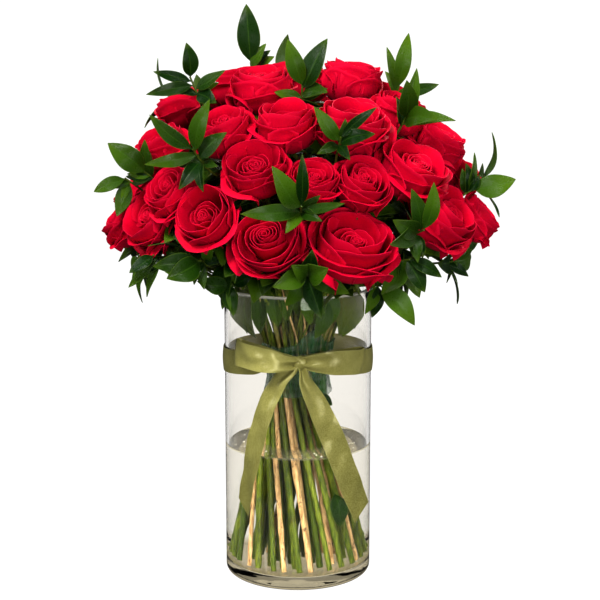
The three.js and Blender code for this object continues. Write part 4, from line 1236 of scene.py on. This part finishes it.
def make_strip(name, stations, across, seed, pleats, wrinkle, cut=0.0, painted_shade=(0.0, 0.0)):
    """A satin strip through stations of [x, y, z, width], with the way its width runs at
    each. Where it is gathered to less than its full width, it pleats. Painted shade darkens
    it from the first amount to the second along its length."""
    random = Random(seed)
    phases = [random.uniform(*PHASES) for _ in range(3)]
    centre, width = stations[:, :3], stations[:, 3:4]
    along = np.gradient(centre, axis=0)
    along /= np.linalg.norm(along, axis=1, keepdims=True)
    wide = across - along * (across * along).sum(1, keepdims=True)
    wide /= np.linalg.norm(wide, axis=1, keepdims=True)
    normal = np.cross(along, wide)
    w = np.linspace(-1, 1, 17)
    at = np.concatenate([[0], np.cumsum(np.linalg.norm(np.diff(centre, axis=0), axis=1))])[:, None]
    length = float(at[-1, 0])
    out = RIBBON_CROWN * (1 - w * w) + wrinkle * np.sin(0.11 * at + 1.6 * w + phases[1])
    out = out + 0.5 * wrinkle * np.sin(0.23 * at - 2.3 * w + phases[2])
    gathered = 0.30 * np.maximum(0, RIBBON_WIDTH - width) / pleats
    out = out + gathered * np.sin(math.pi * pleats * w + phases[0])
    for share, beside, depth in DENTS[name]:
        out = out - depth * np.exp(-((at / length - share) / DENT_SIZE["length"]) ** 2
                                   - ((w - beside) / DENT_SIZE["width"]) ** 2)
    end = cut * (w + 1) / 2 * np.maximum(0, np.linspace(-1, 1, len(stations)))[:, None]
    grid = (centre[:, None] + wide[:, None] * (w * width / 2)[..., None] + normal[:, None] * out[..., None]
            + along[:, None] * end[..., None])
    shape = Shape()
    shape.shell(grid, RIBBON_THICKNESS, stacked(w * RIBBON_WIDTH / 2, at,
                                                painted_shade[0] + (painted_shade[1] - painted_shade[0]) * at / length))
    obj = place_piece(shape.object(name, [SATIN]), "ribbon", "ribbon")


def make_band():
    azimuths = np.linspace(180, 540, BAND_STEPS)
    front = np.cos(np.radians(azimuths))
    heights = BAND_HEIGHT + BAND_RISE * np.maximum(0, front) ** 2
    widths = RIBBON_WIDTH - BAND_GATHER * smooth(0.80, 0.99, front)
    stations = [[*polar(a, BAND_RADIUS, z), width] for a, z, width in zip(azimuths, heights, widths)]
    make_strip("ribbon_band", np.array(stations), UP, 3, 2.0, 0.0, painted_shade=BAND_PAINTED_SHADE)


def make_loop(name, loop, seed):
    make_strip(name, through(loop, STRIP_STEPS), UP, seed, 1.6, 1.0)


def make_tail(name, tail, seed, cut):
    stations = through(tail, STRIP_STEPS)
    turns = np.radians(stations[:, 4])
    across = stacked(-np.cos(turns), -np.sin(turns), 0.0)
    make_strip(name, stations, across, seed, 1.5, 0.7, cut, TAIL_PAINTED_SHADE)


def make_knot():
    """A short piece of ribbon drawn tight over the middle of the bow."""
    x, y, z = KNOT
    width, around = KNOT_SIZE["width"], KNOT_SIZE["around"]
    rows, columns = 41, 11
    a = np.linspace(0, 2 * math.pi, rows)[:, None]
    w = np.linspace(-1, 1, columns)
    pinch = 1 - 0.16 * w * w + 0.05 * np.sin(9.6 * w + 1.0)
    grid = stacked(x + 5.4 * w + 0.9 * np.sin(a + 0.6), y - 5.6 * pinch * np.cos(a),
                   z + 6.8 * pinch * np.sin(a))
    shape = Shape()
    shape.shell(grid, RIBBON_THICKNESS, stacked(w * width / 2, np.linspace(0, around, rows)[:, None], 0.0))
    knot = place_piece(shape.object("ribbon_knot", [SATIN]), "ribbon", "ribbon")


# ---- stage ---------------------------------------------------------------------------------
FLOOR_DROP = 0.4  # the floor lies this far below the vase, in millimetres
FLOOR_HALF = 6.0  # metres
FLOOR_GREY = (0.03, 0.03, 0.03)
LIGHT_AIM = Vector((0, 0, 0.4))
# the sines of two elevations, and the strength of the surroundings at each
SKY_BY_HEIGHT = (-0.3, 0.9, 0.18, 0.5)
SKY_IN_GLOSS = 0.2
WHITE_IN_REFLECTIONS = 0.5  # how much of the white a reflection inside the glass keeps
WHITE = (1.0, 1.0, 1.0)
WARM_WHITE = (1.0, 0.98, 0.96)
# [name, place in metres, size, watts, colour]
LIGHTS = [
    ["key", (-0.55, -1.35, 1.75), 0.5, 49, WARM_WHITE],
    ["front", (0.4, -1.7, 0.4), 0.5, 16, WARM_WHITE],
    ["right", (1.6, 0.1, 1.1), 0.8, 9, WHITE],
    ["back", (0.5, 1.4, 1.7), 0.8, 42, WHITE],
    ["left", (-1.6, 0.1, 1.1), 0.8, 12, WHITE],
]
CAMERA = {"place": (0.00217, -1.4498, 0.53365), "looks_down": 9.747, "lens": 86.43, "sensor": 36}


def make_world():
    """White behind the glass. What lights the object, or shines in it, is dimmer and comes
    mostly from the front and above."""
    world = bpy.data.worlds.new("studio")
    bpy.context.scene.world = world
    world.use_nodes = True
    sky = Nodes(world.node_tree)
    rays = sky.node("LightPath").outputs
    clear = sky.times(sky.math("LESS_THAN", rays["Diffuse Depth"], 0.5),
                      sky.span(rays["Glossy Depth"], 0, 1, 1.0, WHITE_IN_REFLECTIONS))
    seen = sky.times(sky.math("MAXIMUM", rays["Is Camera Ray"], rays["Is Transmission Ray"]), clear)
    dim = sky.times(sky.span(sky.apart(sky.place("Generated"))[2], *SKY_BY_HEIGHT),
                    sky.span(rays["Is Glossy Ray"], 0, 1, 1.0, SKY_IN_GLOSS))
    background = sky.tree.nodes["Background"]
    sky.give(background.inputs[0], WHITE)
    sky.give(background.inputs[1], sky.node("Mix", {0: seen, 2: dim, 3: 1.0}).outputs[0])


def make_floor():
    mesh = bpy.data.meshes.new("floor")
    s, z = FLOOR_HALF, -FLOOR_DROP * MM
    mesh.from_pydata([(-s, -s, z), (s, -s, z), (s, s, z), (-s, s, z)], [], [(0, 1, 2, 3)])
    floor = bpy.data.objects.new("floor", mesh)
    bpy.context.scene.collection.objects.link(floor)
    mesh.materials.append(Look("pale_floor").set(
        Base_Color=FLOOR_GREY, Roughness=0.9, Specular_IOR_Level=0.0, Emission_Color=WHITE,
        Emission_Strength=0.95))
    floor.visible_glossy = False
    floor.visible_diffuse = False


def make_lights():
    for name, place, size, power, colour in LIGHTS:
        light = bpy.data.lights.new(name, "AREA")
        light.size, light.energy, light.color = size, power, colour
        lamp = bpy.data.objects.new(name, light)
        lamp.location = place
        lamp.visible_camera = False
        lamp.visible_transmission = False
        lamp.rotation_euler = (LIGHT_AIM - Vector(place)).to_track_quat("-Z", "Y").to_euler()
        bpy.context.scene.collection.objects.link(lamp)
    view = bpy.context.scene.view_settings
    view.view_transform = "Standard"
    view.exposure = 0.12
    view.gamma = 0.86


def make_camera():
    data = bpy.data.cameras.new("camera")
    data.sensor_width = CAMERA["sensor"]
    data.lens = CAMERA["lens"]
    camera = bpy.data.objects.new("camera", data)
    camera.location = CAMERA["place"]
    camera.rotation_euler = (math.radians(90 - CAMERA["looks_down"]), 0, 0)
    bpy.context.scene.collection.objects.link(camera)
    bpy.context.scene.camera = camera


make_camera()
make_world()
make_floor()
make_lights()
make_vase()
make_water()
rose_frames = [make_rose_frame(number, row) for number, row in enumerate(ROSES, 1)]
routes = stem_routes(ROSES + RUSCUS_STEMS)
make_stems(rose_frames, routes)
for number, rose in enumerate(rose_frames, 1):
    make_head(number, rose)
make_greenery(rose_frames, routes)
make_under_leaves(rose_frames)
make_rim_leaves()
make_inner_leaves(rose_frames, routes)
make_neck_fill()
make_neck_twigs()
make_loose_leaves()
make_film()
make_band()
make_loop("ribbon_loop_left", LEFT_LOOP, 11)
make_loop("ribbon_loop_right", RIGHT_LOOP, 12)
make_tail("ribbon_tail_left", LEFT_TAIL, 13, -10)
make_tail("ribbon_tail_right", RIGHT_TAIL, 14, 10)
make_knot()

bpy.context.view_layer.update()
